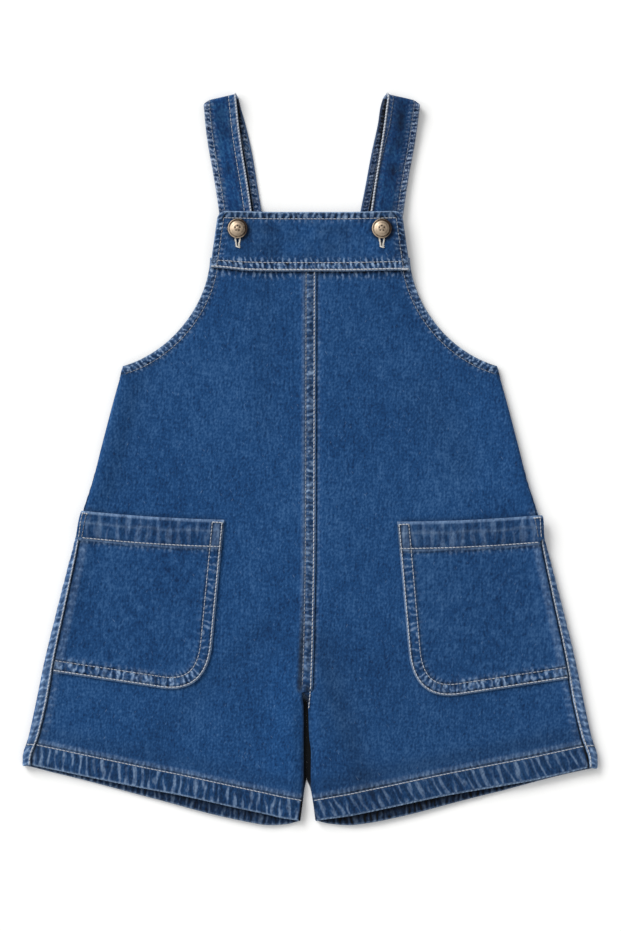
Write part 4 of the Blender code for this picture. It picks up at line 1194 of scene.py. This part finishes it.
def sew_back(side):
    """The row beside the side seam, and the end of the hem's row."""
    fall = getattr(HEM_ROWS[-1], "front_" + side)

    def seam_spot(t, above):
        y = SIDE_ROW_TOP_Y + (HEM_OUTER_Y - fall + 0.4 - SIDE_ROW_TOP_Y) * t
        out = fold_top(y) - read(SIDE_ROWS, "seam", y) + SEAM_GAP / 2 + SIDE_STITCH
        return body_point(side, out, y, 0.25 + above)

    def hem_spot(t, above):
        y = HEM_OUTER_Y + HEM_STITCH - STITCH_FALL * fall + 0.4 * t
        out = fold_top(y) - read(SIDE_ROWS, "seam", y) + 1.0 + 6.6 * t
        return body_point(side, out, y, 0.05 + above)

    mesh = new_sewing()
    sew(mesh, seam_spot, 500, radius=0.48, bright=1.1, dip=0.45)
    sew(mesh, hem_spot, 501, radius=0.38, dip=0.4)
    return finish_sewing("side_seam_stitching_" + side, mesh, ECRU_THREAD)


for side in SIDES:
    cloth = back_panel(side)
    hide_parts("back_panel_" + side)
    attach(cloth, "root")
    rows = sew_back(side)

# Bib band: a doubled strip of denim over the top of the front, with rounded upper corners and worn edges. One
# row of stitches runs round its top and ends and two rows hold its foot to the front.
BAND_CLOTH = 2.0
BAND_CORNER = 6.4
BAND_CUT = Cut(31.0, 17.0, 150.0, 190.0)
Band = namedtuple("Band", "y half_width")
BAND_ROWS = [Band(198.4, 73.4), Band(174.4, 76.8), Band(150.8, 80.2)]
BAND_DEPTH = BAND_TOP_Y - BAND_FOOT_Y
BAND_TOP_STITCH = 5.6
BAND_END_STITCH = 5.3
BAND_LOW_STITCHES = (40.6, 46.2)
BUTTON_Y = 184.2
BUTTON_X = {"left": -57.8, "right": 57.4}


def band_half(depth):
    """Half the band's width at a depth below its top edge."""
    rounding = BAND_CORNER - np.sqrt(BAND_CORNER**2 - np.clip(BAND_CORNER - depth, 0.0, BAND_CORNER) ** 2)
    return read(BAND_ROWS, "half_width", BAND_TOP_Y - depth) - rounding


def band_relief(x, depth):
    """The same four for the band's face."""
    end = band_half(depth) - abs(x)

    # Along the top
    tops = puckers(x + 0.1 * depth, depth, 5.0, 160)
    off_ends = past(end, 5.0, 2.0)
    zone = between(depth, 1.1, BAND_TOP_STITCH - 0.8, 0.8) * off_ends
    beyond = between(depth, BAND_TOP_STITCH + 0.8, BAND_TOP_STITCH + 1.2, 3.5) * off_ends
    zones = [Zone(zone + 0.35 * beyond, (x + 0.1 * depth) / 5.2, depth / 7.0)]
    lift = 0.22 * tops * zone + 0.08 * tops * beyond
    worn = 0.2 * np.clip(tops, 0, 1) * zone + 0.85 * bump(depth - 0.4, 0.7)
    shade = 0.4 * zone

    # Down the ends
    ends = puckers(depth + 0.2 * end, end, 4.5, 161)
    zone = between(end, 1.0, BAND_END_STITCH - 0.8, 0.8) * past(depth, 2.0, 2.0)
    beyond = between(end, BAND_END_STITCH + 0.8, BAND_END_STITCH + 2.0, 4.0) * past(depth, 8.0, 3.0)
    zones.append(Zone(zone + 0.55 * beyond, (depth + 0.2 * end) / 4.3, end / 4.0 + 40.0 * (x > 0)))
    lift += 0.2 * ends * zone
    worn += 0.6 * bump(end - 0.4, 0.7) + 0.3 * bump(end - 2.5, 2.5) * past(depth, 41.0, 8.0)
    shade += 0.22 * zone

    # Along the foot, and then the rows' grooves, the middle and round the buttons
    lows = puckers(x - 0.2 * depth, depth, 4.6, 162)
    zone = between(depth, BAND_LOW_STITCHES[0] + 0.8, BAND_LOW_STITCHES[1] - 0.6, 0.8) * off_ends
    beyond = between(depth, BAND_LOW_STITCHES[0] - 1.2, BAND_LOW_STITCHES[0] - 0.8, 4.5)
    zones.append(Zone(zone + 0.85 * beyond, (x - 0.2 * depth) / 4.4, depth / 6.0))
    lift += 0.2 * lows * zone + 0.08 * lows * beyond
    worn += 0.3 * np.clip(lows, 0, 1) * zone + 0.85 * bump(BAND_DEPTH - depth - 0.6, 0.8)
    shade += 0.12 * zone
    for stitch in (BAND_TOP_STITCH, *BAND_LOW_STITCHES):
        lift -= 0.2 * bump(depth - stitch, 0.6)
        shade += 0.4 * bump(depth - stitch, 0.7)
    lift -= 0.2 * bump(end - BAND_END_STITCH, 0.6)
    shade += 0.4 * bump(end - BAND_END_STITCH, 0.7)
    middle = between(depth, 9.0, 36.0, 4.0)
    patches = mottle(x, depth, 15.0, 163) + 0.8 * mottle(x, depth, 7.0, 164)
    lift += 0.12 * patches * middle
    shade += 0.08 + (0.02 + 0.24 * patches) * middle
    for button_x in BUTTON_X.values():
        off = np.hypot(x - button_x - 0.7, BAND_TOP_Y - depth - BUTTON_Y + 0.7)
        shade += 0.95 * bump(off - 7.4, 2.2)
        lift -= 0.25 * bump(off, 9.0)
    return lift, np.clip(worn, 0, 1), np.clip(shade, -0.2, 1), zones


def band_point(x, depth, above):
    """A point above the band's face."""
    y = BAND_TOP_Y - depth - band_sag(x, BAND_TOP_Y - depth)
    lift = band_relief(x, depth)[0]
    return np.stack([x, y, band_underside(x, y) + BAND_CLOTH + lift + above], axis=-1)


def bib_band():
    """The bib band, before its buttonholes are cut."""
    near = [0.0, 0.4, 0.9, 1.5, 2.3, 3.1, 3.9, 4.7, 5.3, 5.9, 6.9]
    columns = 190
    edge_depths = [0.0, 0.25, 0.6, 1.0, 1.6, 2.4, 3.2, 4.0, 4.8, 5.4, 6.0, 7.0]
    foot_depths = [39.0, 40.0, 40.6, 41.3, 42.2, 43.1, 44.0, 44.9, 45.6, 46.2, 46.8, 47.2, BAND_DEPTH]
    depths = np.array(edge_depths + list(np.linspace(7.0, 39.0, 24)[1:-1]) + foot_depths)

    def place(column, row, is_upper):
        depth = depths[row]
        half = band_half(depth)
        x = across_places(column, columns, 2 * half, near, near) - half
        y = BAND_TOP_Y - depth - band_sag(x, BAND_TOP_Y - depth)
        lift, worn, shade, zones = band_relief(x, depth)
        edge = np.minimum(np.minimum(depth, BAND_DEPTH - depth), half - abs(x))
        drop = rounded_edge(edge, 0.45 * BAND_CLOTH)
        upper = np.maximum(BAND_CLOTH + lift - drop, 0.5 * BAND_CLOTH)
        z = band_underside(x, y) + np.where(is_upper, upper, drop)
        grain = in_weave(x, y, is_upper, BAND_CUT)
        marks = (worn * is_upper, shade * is_upper, np.zeros(len(x)), strongest(zones, is_upper))
        return np.stack([x, y, z], axis=-1), grain, *marks

    return cloth_shell("bib_band_cloth", columns, len(depths) - 1, WASHED_DENIM, place)


band = bib_band()
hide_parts("bib_band")
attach(band, "root")


def band_row(start, end):
    """A row's points from one place to another: side of the band, distance from its end, and depth."""

    def spot(t, above):
        depth = start[2] + (end[2] - start[2]) * t
        half = band_half(depth)
        x = start[0] * (half - start[1]) * (1 - t) + end[0] * (half - end[1]) * t
        return band_point(x, depth, above)

    return spot


mesh = new_sewing()
corners = {k: (k, BAND_END_STITCH, BAND_TOP_STITCH) for k in (-1, 1)}
sew(mesh, band_row(corners[-1], corners[1]), 300, dip=0.5)
for k, (stitch, inset) in enumerate(zip(BAND_LOW_STITCHES, (BAND_END_STITCH, 0.9))):
    row = band_row((-1, inset, stitch), (1, inset, stitch))
    sew(mesh, row, 301 + k, radius=(0.34, 0.62)[k], bright=(0.9, 1.3)[k], dip=(0.6, 0.35)[k])
for k in corners:
    sew(mesh, band_row(corners[k], (k, BAND_END_STITCH, 46.8)), 304 + k, bright=0.65, dip=0.8)
sew(mesh, band_row((1, 0.9, 46.9), (1, 7.4, 46.9)), 306, length=6.5, radius=0.62, bright=1.4)
rows = finish_sewing("bib_stitching", mesh, ECRU_THREAD)

# Buttonholes: a keyhole through both layers of the bib band, worked round in dense satin stitch, with a bar
# tack and loose thread ends at its foot. Under each button only the two stitched edges of its slot show.
EYE_RADIUS = 2.5
SLOT_WIDTH = 1.2
SLOT_LENGTH = 14.0
LEG_TOP = 7.0  # below the button's middle
LEG_FOOT = 14.0
LEG_SPREAD = (1.9, 0.95)
LEG_WIDTH = 0.8
SATIN_PITCH = 0.42
KNOT = [(-1.9, 1.5, 14.0, 14.6), (-1.2, 2.4, 14.5, 15.1), (0.6, 2.2, 14.2, 13.6)]  # x, x, depth, depth
CUT_Z = 7.0  # inside the band, whose keyhole is cut right through
for side in SIDES:
    cutter = bmesh.new()
    middle = Vector((BUTTON_X[side], BUTTON_Y, CUT_Z)) * MM
    eye = {"radius1": EYE_RADIUS * MM, "radius2": EYE_RADIUS * MM, "depth": 12.0 * MM}
    bmesh.ops.create_cone(cutter, cap_ends=True, segments=24, matrix=Matrix.Translation(middle), **eye)
    slot = bmesh.ops.create_cube(cutter, size=1.0)["verts"]
    bmesh.ops.scale(cutter, verts=slot, vec=(SLOT_WIDTH * MM, SLOT_LENGTH * MM, 11.0 * MM))
    bmesh.ops.translate(cutter, verts=slot, vec=middle - Vector((0.0, SLOT_LENGTH / 2 * MM, 0.0)))
    keyhole = into_scene("keyhole cutter", cutter)
    cut = band.modifiers.new("keyhole", "BOOLEAN")
    cut.operation = "DIFFERENCE"
    cut.solver = "EXACT"
    cut.use_self = True
    cut.object = keyhole
    bpy.context.view_layer.update()
    evaluated = band.evaluated_get(bpy.context.evaluated_depsgraph_get())
    with_keyhole = bpy.data.meshes.new_from_object(evaluated)
    band.modifiers.remove(cut)
    band.data = with_keyhole
    bpy.data.objects.remove(keyhole)
# The first colour is painted shade where the thread sinks into the cloth and beside the slit.
BUTTONHOLE_THREAD = thread("pale buttonhole twist", "#3B332C", "#9C968C", "#D8D4CA")


def satin_leg(side, way):
    """One stitched edge of a slot, to and fro across it."""

    def spot(t, above):
        spread = LEG_SPREAD[0] + (LEG_SPREAD[1] - LEG_SPREAD[0]) * ease(t)
        turns = (LEG_FOOT - LEG_TOP) / SATIN_PITCH / 2
        swing = LEG_WIDTH * (2 * abs(2 * ((t * turns) % 1.0) - 1) - 1)
        depth = BAND_TOP_Y - BUTTON_Y + LEG_TOP + (LEG_FOOT - LEG_TOP) * t
        return band_point(BUTTON_X[side] + way * spread + swing, depth, 0.25 + above)

    return spot


def knot(side, x0, x1, depth0, depth1):
    """One thread of the bar tack at a slot's foot."""

    def spot(t, above):
        x = BUTTON_X[side] + x0 + (x1 - x0) * t
        return band_point(x, BAND_TOP_Y - BUTTON_Y + depth0 + (depth1 - depth0) * t, 0.45 + above)

    return spot


mesh = new_sewing()
for side in SIDES:
    for way in (-1, 1):
        sew(mesh, satin_leg(side, way), 600 + way, length=2 * LEG_WIDTH, radius=0.3, bright=0.95)
    for number, ends in enumerate(KNOT):
        sew(mesh, knot(side, *ends), 610 + number, length=5.0, radius=0.38, bright=1.1)
finish_sewing("buttonhole_stitching", mesh, BUTTONHOLE_THREAD)

# Straps: doubled strips of denim, topstitched along both edges, from the back's top edge up to a soft fold
# and down again to the buttons under the bib. The edges are rubbed pale and the middle has kept its blue.
STRAP_CLOTH = 1.8
STRAP_WIDTH = 26.0
STRAP_CUTS = {side: Cut(40.0 * way, 0.0, 210.0, 240.0) for side, way in SIDES.items()}
STRAP_FOLD_Y = 286.18
STRAP_FOLD_RADIUS = 3.4
STRAP_TILT = 13.0
Strap = namedtuple("Strap", "y left_front left_back right_front right_back height")
STRAP_ROWS = [Strap(*row) for row in [
    (288.0, 72.0, 70.4, 75.0, 71.8, 6.8), (279.0, 71.1, 68.3, 73.8, 69.1, 6.1),
    (267.2, 70.0, 64.9, 72.3, 67.4, 5.2), (242.4, 66.6, 59.2, 68.6, 62.0, 4.4),
    (215.2, 62.2, 54.7, 64.2, 57.0, 4.7), (199.2, 59.9, 52.1, 61.9, 53.8, 5.4),
    (184.2, 57.8, 49.6, 59.2, 51.0, 5.4), (167.0, 55.4, 46.8, 56.4, 48.0, 5.4),
]]
STRAP_FRONT_END = 168.0
STRAP_BACK_END = 173.0
STRAP_STEP_Y = 206.0
STRAP_STEP_LENGTH = 12.0
STRAP_TURN_LENGTH = 22.0
STRAP_LEAN_REACH = 2.0
STRAP_STITCHES = (8.4, 7.2)  # outward and inward from the middle
Drift = namedtuple("Drift", "at_fold below")
ROW_DRIFTS = {"left": Drift(0.0, 0.0), "right": Drift(1.2, 3.2)}  # of the front leg's inner row to its edge
STRAP_WIDE_Y = 228.0  # from here up the strap spreads a little
STRAP_WIDE_LENGTH = 30.0
STRAP_WIDENING = 0.025
FOLD_CORNER = 1.6  # how far the fold's outer corner falls back
STRAP_LEG = 118.0  # length of a leg, for the puckers along it
FOLD_LENGTH = 10.0
STRAP_PUCKERS = {"left": 7.4, "right": 5.1}
FINE_PUCKERS = {"left": 3.7, "right": 3.1}


def strap_leg(side, y, end):
    """x and lean of a strap's leg."""
    below, x, above = (
        SIDES[side] * read(STRAP_ROWS, side + "_" + end, y + reach)
        for reach in (-STRAP_LEAN_REACH, 0.0, STRAP_LEAN_REACH)
    )
    lean = np.arctan2(below - above, 2 * STRAP_LEAN_REACH)
    full = math.radians(STRAP_TILT) * -SIDES[side]
    return x, lean + (full - lean) * ease((y - STRAP_FOLD_Y + STRAP_TURN_LENGTH) / STRAP_TURN_LENGTH)


def strap_stitch(side, k, along):
    """How far outward or inward a strap's row lies."""
    drift = ROW_DRIFTS[side]
    drift = drift.at_fold * past(along, 126.0, 14.0) + drift.below * past(along, 188.0, 50.0)
    return STRAP_STITCHES[k] + k * drift


def strap_relief(side, across, along, is_back):
    """The same four for a strap's outer face."""
    seed = 180 if side == "left" else 190
    outward = across * SIDES[side]
    lift = 0.0
    worn = 0.4 * bump(12.6 - outward, 0.8) + np.where(is_back, 0.2, 0.85) * bump(12.4 + outward, 0.9)
    spacing = STRAP_PUCKERS[side]
    shade = 0.0
    zones = []
    for k in (0, 1):
        stitch = strap_stitch(side, k, along)
        off = (outward, -outward)[k]
        strength = np.where(is_back, 0.8, (1.0, 0.3)[k])
        ridges = puckers(along + 0.3 * off, off, spacing, seed + k)
        zone = between(off, stitch + 0.9, (12.4, 11.2)[k], 0.8) * strength
        beyond = between(off, stitch - 1.8 - (side == "right"), stitch - 0.9, 2.5) * strength
        fine = FINE_PUCKERS[side]
        zones.append(Zone(zone + 0.32 * beyond, (along + 0.3 * off) / fine, 1.7 * off / fine + 9.0 * is_back))
        lift += 0.2 * ridges * zone + 0.1 * ridges * beyond - 0.2 * bump(off - stitch, 0.7)
        worn += np.clip(ridges, 0, 1) * (0.5 * zone + 0.15 * beyond)
        shade += (0.15 + 0.45 * np.clip(-ridges, 0, 1)) * zone + 0.6 * bump(off - stitch + 0.9, 0.8)
    notches = puckers(along, off, 2.9, seed + 2)
    shade += 0.6 * np.clip(-notches, 0, 1) * bump(off - 11.0, 0.8)
    middle = between(abs(across), -1.0, 5.0, 2.0)
    patches = mottle(across, along, 7.0, seed + 3) + 0.6 * mottle(across, 0.3 * along, 4.0, seed + 6)
    shade += (0.08 + 0.28 * (side == "right") + 0.34 * patches) * middle + 0.18 * (side == "right")
    y = STRAP_BACK_END + (STRAP_FOLD_Y - STRAP_BACK_END) * along / STRAP_LEG
    front_edge = read(STRAP_ROWS, side + "_front", y) - STRAP_WIDTH / 2
    shown = front_edge - read(STRAP_ROWS, side + "_back", y) - outward
    shade += is_back * (0.2 + 0.45 * ease((along - 60.0) / 50.0) + 0.8 * (1 - ease(shown / 3.0)))
    lift += 0.15 * mottle(across, along, 9.0, seed + 4) * middle
    return lift, np.clip(worn, 0, 1), np.clip(shade, 0, 1.3), zones


def strap_point(side, place, across, depth):
    """A point of a strap at a depth under its outer face. place runs from 0 at the back end through 1, where
    the fold starts, and 2, where it ends, to 3 at the front end."""
    back_y = STRAP_BACK_END + (STRAP_FOLD_Y - STRAP_BACK_END) * np.clip(place, 0.0, 1.0)
    front_y = STRAP_FOLD_Y + (STRAP_FRONT_END - STRAP_FOLD_Y) * np.clip(place - 2.0, 0.0, 1.0)
    angle = math.pi * np.clip(place - 1.0, 0.0, 1.0)
    back_x, back_lean = strap_leg(side, back_y, "back")
    front_x, front_lean = strap_leg(side, front_y, "front")
    turned = angle / math.pi
    x = back_x + (front_x - back_x) * turned
    y = np.where(turned > 0, front_y, back_y)
    lean = back_lean + (front_lean - back_lean) * turned
    widening = STRAP_WIDENING * ease((front_y - STRAP_WIDE_Y) / STRAP_WIDE_LENGTH)
    outward = across * SIDES[side]
    reach = (STRAP_FOLD_RADIUS - depth - FOLD_CORNER * ease((outward - 8.0) / 5.0)) * np.sin(angle)
    across = across + widening * (across + SIDES[side] * STRAP_WIDTH / 2)
    floor_z = (CLOTH + SEAM_GAP) * ease((STRAP_STEP_Y - back_y) / STRAP_STEP_LENGTH)
    low = floor_z + depth
    high = read(STRAP_ROWS, "height", front_y) - depth
    z = low + (high - low) * (1 - np.cos(angle)) / 2
    x += across * np.cos(lean) - reach * np.sin(lean)
    y += across * np.sin(lean) + reach * np.cos(lean)
    return np.stack([x, y, z], axis=-1)


def strap_along(place):
    """Length along a strap, for its puckers and its weave."""
    back, fold, front = (np.clip(place - start, 0.0, 1.0) for start in range(3))
    return STRAP_LEG * (back + front) + FOLD_LENGTH * fold


def strap(side):
    """One strap."""
    near = [0.0, 0.35, 0.8, 1.4, 2.1, 2.9, 3.7, 4.6, 5.5, 6.4]
    columns = 30
    leg_rows = 140
    fold_rows = 14
    back, fold, front = (np.linspace(k, k + 1, n + 1) for k, n in enumerate((leg_rows, fold_rows, leg_rows)))
    places = np.concatenate([back[:-1], fold[:-1], front])

    def place(column, row, is_upper):
        run = places[row]
        across = across_places(column, columns, STRAP_WIDTH, near, near) - STRAP_WIDTH / 2
        along = strap_along(run)
        lift, worn, shade, zones = strap_relief(side, across, along, (run < 1.0) & ~is_upper)
        on_floor = np.clip(1.0 - run, 0.0, 1.0) > 0
        lift = np.where(is_upper & on_floor, 0.0, lift)
        edge = np.minimum(STRAP_WIDTH / 2 - abs(across), np.minimum(along, along.max() - along))
        drop = rounded_edge(edge, 0.45 * STRAP_CLOTH)
        depth = np.where(is_upper, drop - lift, STRAP_CLOTH - drop + lift * (run < 1.0))
        points = strap_point(side, run, across, depth)
        grain = in_weave(across, along, is_upper, STRAP_CUTS[side])
        return points, grain, worn, shade, np.zeros(len(run)), strongest(zones, 1.0)

    return cloth_shell("strap_cloth_" + side, columns, len(places) - 1, STRAP_DENIM, place)


STRAP_DENIM = denim("washed strap denim", "#03224D", "#0C3B6C", "#2C5C88", "#A3B3CA", "#8C9DB0")
ROW_TONES = {"left": (0.7, 0.95), "right": (0.6, 0.45)}
EDGE_STITCH = 12.3  # a close row along the inner edge of each front leg
EDGE_STITCH_LENGTH = 2.5
EDGE_THREAD = {"left": 0.66, "right": 0.8}
EDGE_DIPS = {"left": 0.72, "right": 0.4}
FRONT_SPAN = (1.35, 2.93)  # places along a strap where its rows start and end
BACK_SPAN = (0.2, 0.97)


def strap_row(side, is_back, k):
    """A row's points along a leg of a strap: k is 0 outward, 1 inward and 2 at the inward edge."""
    first, last = BACK_SPAN if is_back else FRONT_SPAN

    def spot(t, above):
        place = first + (last - first) * t
        along = strap_along(place)
        off = EDGE_STITCH if k == 2 else strap_stitch(side, k, along)
        across = off * (1, -1, -1)[k] * SIDES[side] * np.ones(len(t))
        lift = strap_relief(side, across, along, is_back)[0]
        return strap_point(side, place, across, STRAP_CLOTH + lift + above if is_back else -lift - above)

    return spot


for side in SIDES:
    cloth = strap(side)
    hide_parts("strap_" + side)
    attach(cloth, "root")
    mesh = new_sewing()
    for k in (0, 1):
        sew(mesh, strap_row(side, False, k), 400 + k, radius=0.28, bright=ROW_TONES[side][k], dip=0.9)
        sew(mesh, strap_row(side, True, k), 402 + k, radius=0.28, bright=0.45)
    edge = {"length": EDGE_STITCH_LENGTH, "radius": EDGE_THREAD[side], "dip": EDGE_DIPS[side]}
    sew(mesh, strap_row(side, False, 2), 404, bright=1.2, **edge)
    rows = finish_sewing("strap_stitching_" + side, mesh, ECRU_THREAD)

# Buttons: domed shank buttons of stamped brass with an antiqued finish, riveted through the straps. The rim
# and the centre's plain ring motif are rubbed bright, and dark patina stays in the grooves.
Ring = namedtuple("Ring", "radius height patina")
CAP_RINGS = [Ring(*row) for row in [
    (6.6, 0.0, 1.0), (7.4, 0.2, 1.0), (7.8, 0.6, 0.8), (7.9, 1.05, 0.6), (7.75, 1.4, 0.45),
    (7.4, 1.6, 0.45), (7.05, 1.5, 0.7), (6.8, 1.25, 1.0), (6.6, 1.2, 1.0), (6.4, 1.35, 0.8),
    (6.15, 1.65, 0.4), (5.7, 2.05, 0.2), (5.2, 2.4, 0.1), (4.75, 2.62, 0.4), (4.5, 2.75, 0.35),
    (4.0, 3.0, 0.1), (3.4, 3.22, 0.05), (2.9, 3.38, 0.1), (2.6, 3.42, 0.25), (2.35, 3.4, 0.3),
    (2.1, 3.38, 0.3), (1.85, 3.38, 0.3), (1.6, 3.4, 0.3), (1.35, 3.46, 0.25), (1.0, 3.6, 0.2),
    (0.6, 3.72, 0.2), (0.3, 3.76, 0.2), (0.0, 3.77, 0.2),
]]
NECK_RADIUS = 2.0
CAP_RADIUS = 7.9
CAP_STEPS = 84
PITS = 5  # round the centre's boss
PIT_TURN = 20.0  # degrees
PIT_CENTRE = 2.05
PIT_RADIUS = 0.55
PIT_DEPTH = 0.35
PAINTED_SIDE_SHADE = 0.5  # painted shade: how much darker the patina mark makes each button towards its right and top


def antique_brass(name, bright, dull):
    """Brass plate with dark patina in its grooves, finely scratched, so reflections are soft and broken. Its
    patina mark also carries painted shade, darker towards one side.
    """
    material, shader = new_material(name)
    place = add(material, "ShaderNodeTexCoord", None, "Object")
    patches = add(material, "ShaderNodeTexNoise", {"Vector": place, "Scale": 420.0, "Detail": 3.0})
    patina = add(material, "ShaderNodeAttribute", None, "Fac", attribute_name="patina")
    inputs = {"Value": patches, "From Min": 0.3, "From Max": 0.75, "To Min": -0.1, "To Max": 0.35}
    spread = add(material, "ShaderNodeMapRange", inputs)
    dark = add(material, "ShaderNodeMath", {0: patina, 1: spread}, operation="ADD", use_clamp=True)
    give(shader, {
        "Base Color": coated(material, linear(bright), [(dark, linear(dull))]),
        "Roughness": add(material, "ShaderNodeMapRange", {"Value": dark, "To Min": 0.54, "To Max": 0.75}),
        "Metallic": add(material, "ShaderNodeMapRange", {"Value": dark, "To Min": 1.0, "To Max": 0.6}),
    })
    return material


ANTIQUE_BRASS = antique_brass("antiqued brass", "#CDB9A1", "#32241B")


def button(side):
    """One button, with its shank down through the buttonhole to the strap."""
    base = float(band_underside(BUTTON_X[side], BUTTON_Y)) + BAND_CLOTH + SEAM_GAP
    foot = float(read(STRAP_ROWS, "height", BUTTON_Y)) + SEAM_GAP - base
    rings = [Ring(0.0, foot, 1.0), Ring(NECK_RADIUS, foot, 1.0), Ring(NECK_RADIUS, 0.0, 1.0), *CAP_RINGS]
    mesh = bmesh.new()
    layer = mesh.verts.layers.float.new("patina")
    bmesh.ops.create_grid(mesh, x_segments=CAP_STEPS, y_segments=len(rings) - 1, size=1.0)
    for vert in mesh.verts:
        turn = (vert.co.x + 1) * math.pi
        ring = rings[round((vert.co.y + 1) / 2 * (len(rings) - 1))]
        x = ring.radius * math.cos(turn)
        y = ring.radius * math.sin(turn)
        pit = 0.0
        for number in range(PITS):
            way = math.radians(PIT_TURN) + 2 * math.pi * number / PITS
            off = math.hypot(x - PIT_CENTRE * math.cos(way), y - PIT_CENTRE * math.sin(way))
            pit += bump(off, PIT_RADIUS) * (ring.height > 0)
        # The patina mark: patina in the grooves and pits, plus painted shade that grows towards the right and
        # top.
        vert[layer] = ring.patina + pit + PAINTED_SIDE_SHADE * (x + 0.4 * y) / CAP_RADIUS
        vert.co = Vector((BUTTON_X[side] + x, BUTTON_Y + y, base + ring.height - PIT_DEPTH * pit)) * MM
    bmesh.ops.remove_doubles(mesh, verts=mesh.verts[:], dist=WELD)
    bmesh.ops.recalc_face_normals(mesh, faces=mesh.faces[:])
    made = into_scene("button_cap_" + side, mesh, ANTIQUE_BRASS)
    made.data.shade_smooth()
    made.data.set_sharp_from_angle(angle=math.radians(60.0))
    return made


for side in SIDES:
    cap = button(side)
    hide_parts("button_" + side)
    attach(cap, "root")

# Floor, light and camera: a pale sheet under the garment, a large soft lamp from the upper left with a weak
# one beside it, and a camera straight above.
VIEW_HEIGHT = 744.8
VIEW_CENTRE = (0.4, -5.2)
CAMERA_HEIGHT = 2500.0
SENSOR = 36.0
FLOOR_SIZE = 8000.0
FILL = 0.58
Lamp = namedtuple("Lamp", "name x y z angle energy")
LAMPS = [Lamp("softbox", -1.0, 1.2, 0.93, 30.0, 2.42), Lamp("side softbox", -1.2, 0.3, 0.7, 30.0, 0.8)]
scene = bpy.context.scene
scene.view_settings.view_transform = "Standard"
mesh = bmesh.new()
bmesh.ops.create_grid(mesh, x_segments=1, y_segments=1, size=FLOOR_SIZE / 2 * MM)
bmesh.ops.translate(mesh, verts=mesh.verts[:], vec=(0.0, 0.0, -0.05 * MM))
# Matt white paper: nothing shines on it.
paper, shader = new_material("matt white paper")
give(shader, {"Base Color": linear("#FBFBFA"), "Roughness": 1.0, "Specular IOR Level": 0.0})
floor = into_scene("floor", mesh, paper)

world = bpy.data.worlds.new("studio")
world.use_nodes = True
give(world.node_tree.nodes["Background"], {"Color": (1.0, 1.0, 1.0, 1.0), "Strength": FILL})
scene.world = world

for lamp in LAMPS:
    light = bpy.data.lights.new(lamp.name, "SUN")
    light.angle = math.radians(lamp.angle)
    light.energy = lamp.energy
    made = bpy.data.objects.new(lamp.name, light)
    made.rotation_mode = "QUATERNION"
    made.rotation_quaternion = Vector((-lamp.x, -lamp.y, -lamp.z)).to_track_quat("-Z", "Y")
    scene.collection.objects.link(made)

camera_data = bpy.data.cameras.new("camera")
camera_data.sensor_width = SENSOR
camera_data.lens = SENSOR * CAMERA_HEIGHT / VIEW_HEIGHT
camera_data.clip_end = 20.0
camera = bpy.data.objects.new("camera", camera_data)
camera.location = (VIEW_CENTRE[0] * MM, VIEW_CENTRE[1] * MM, (CAMERA_HEIGHT + 5.0) * MM)
scene.collection.objects.link(camera)
scene.camera = camera
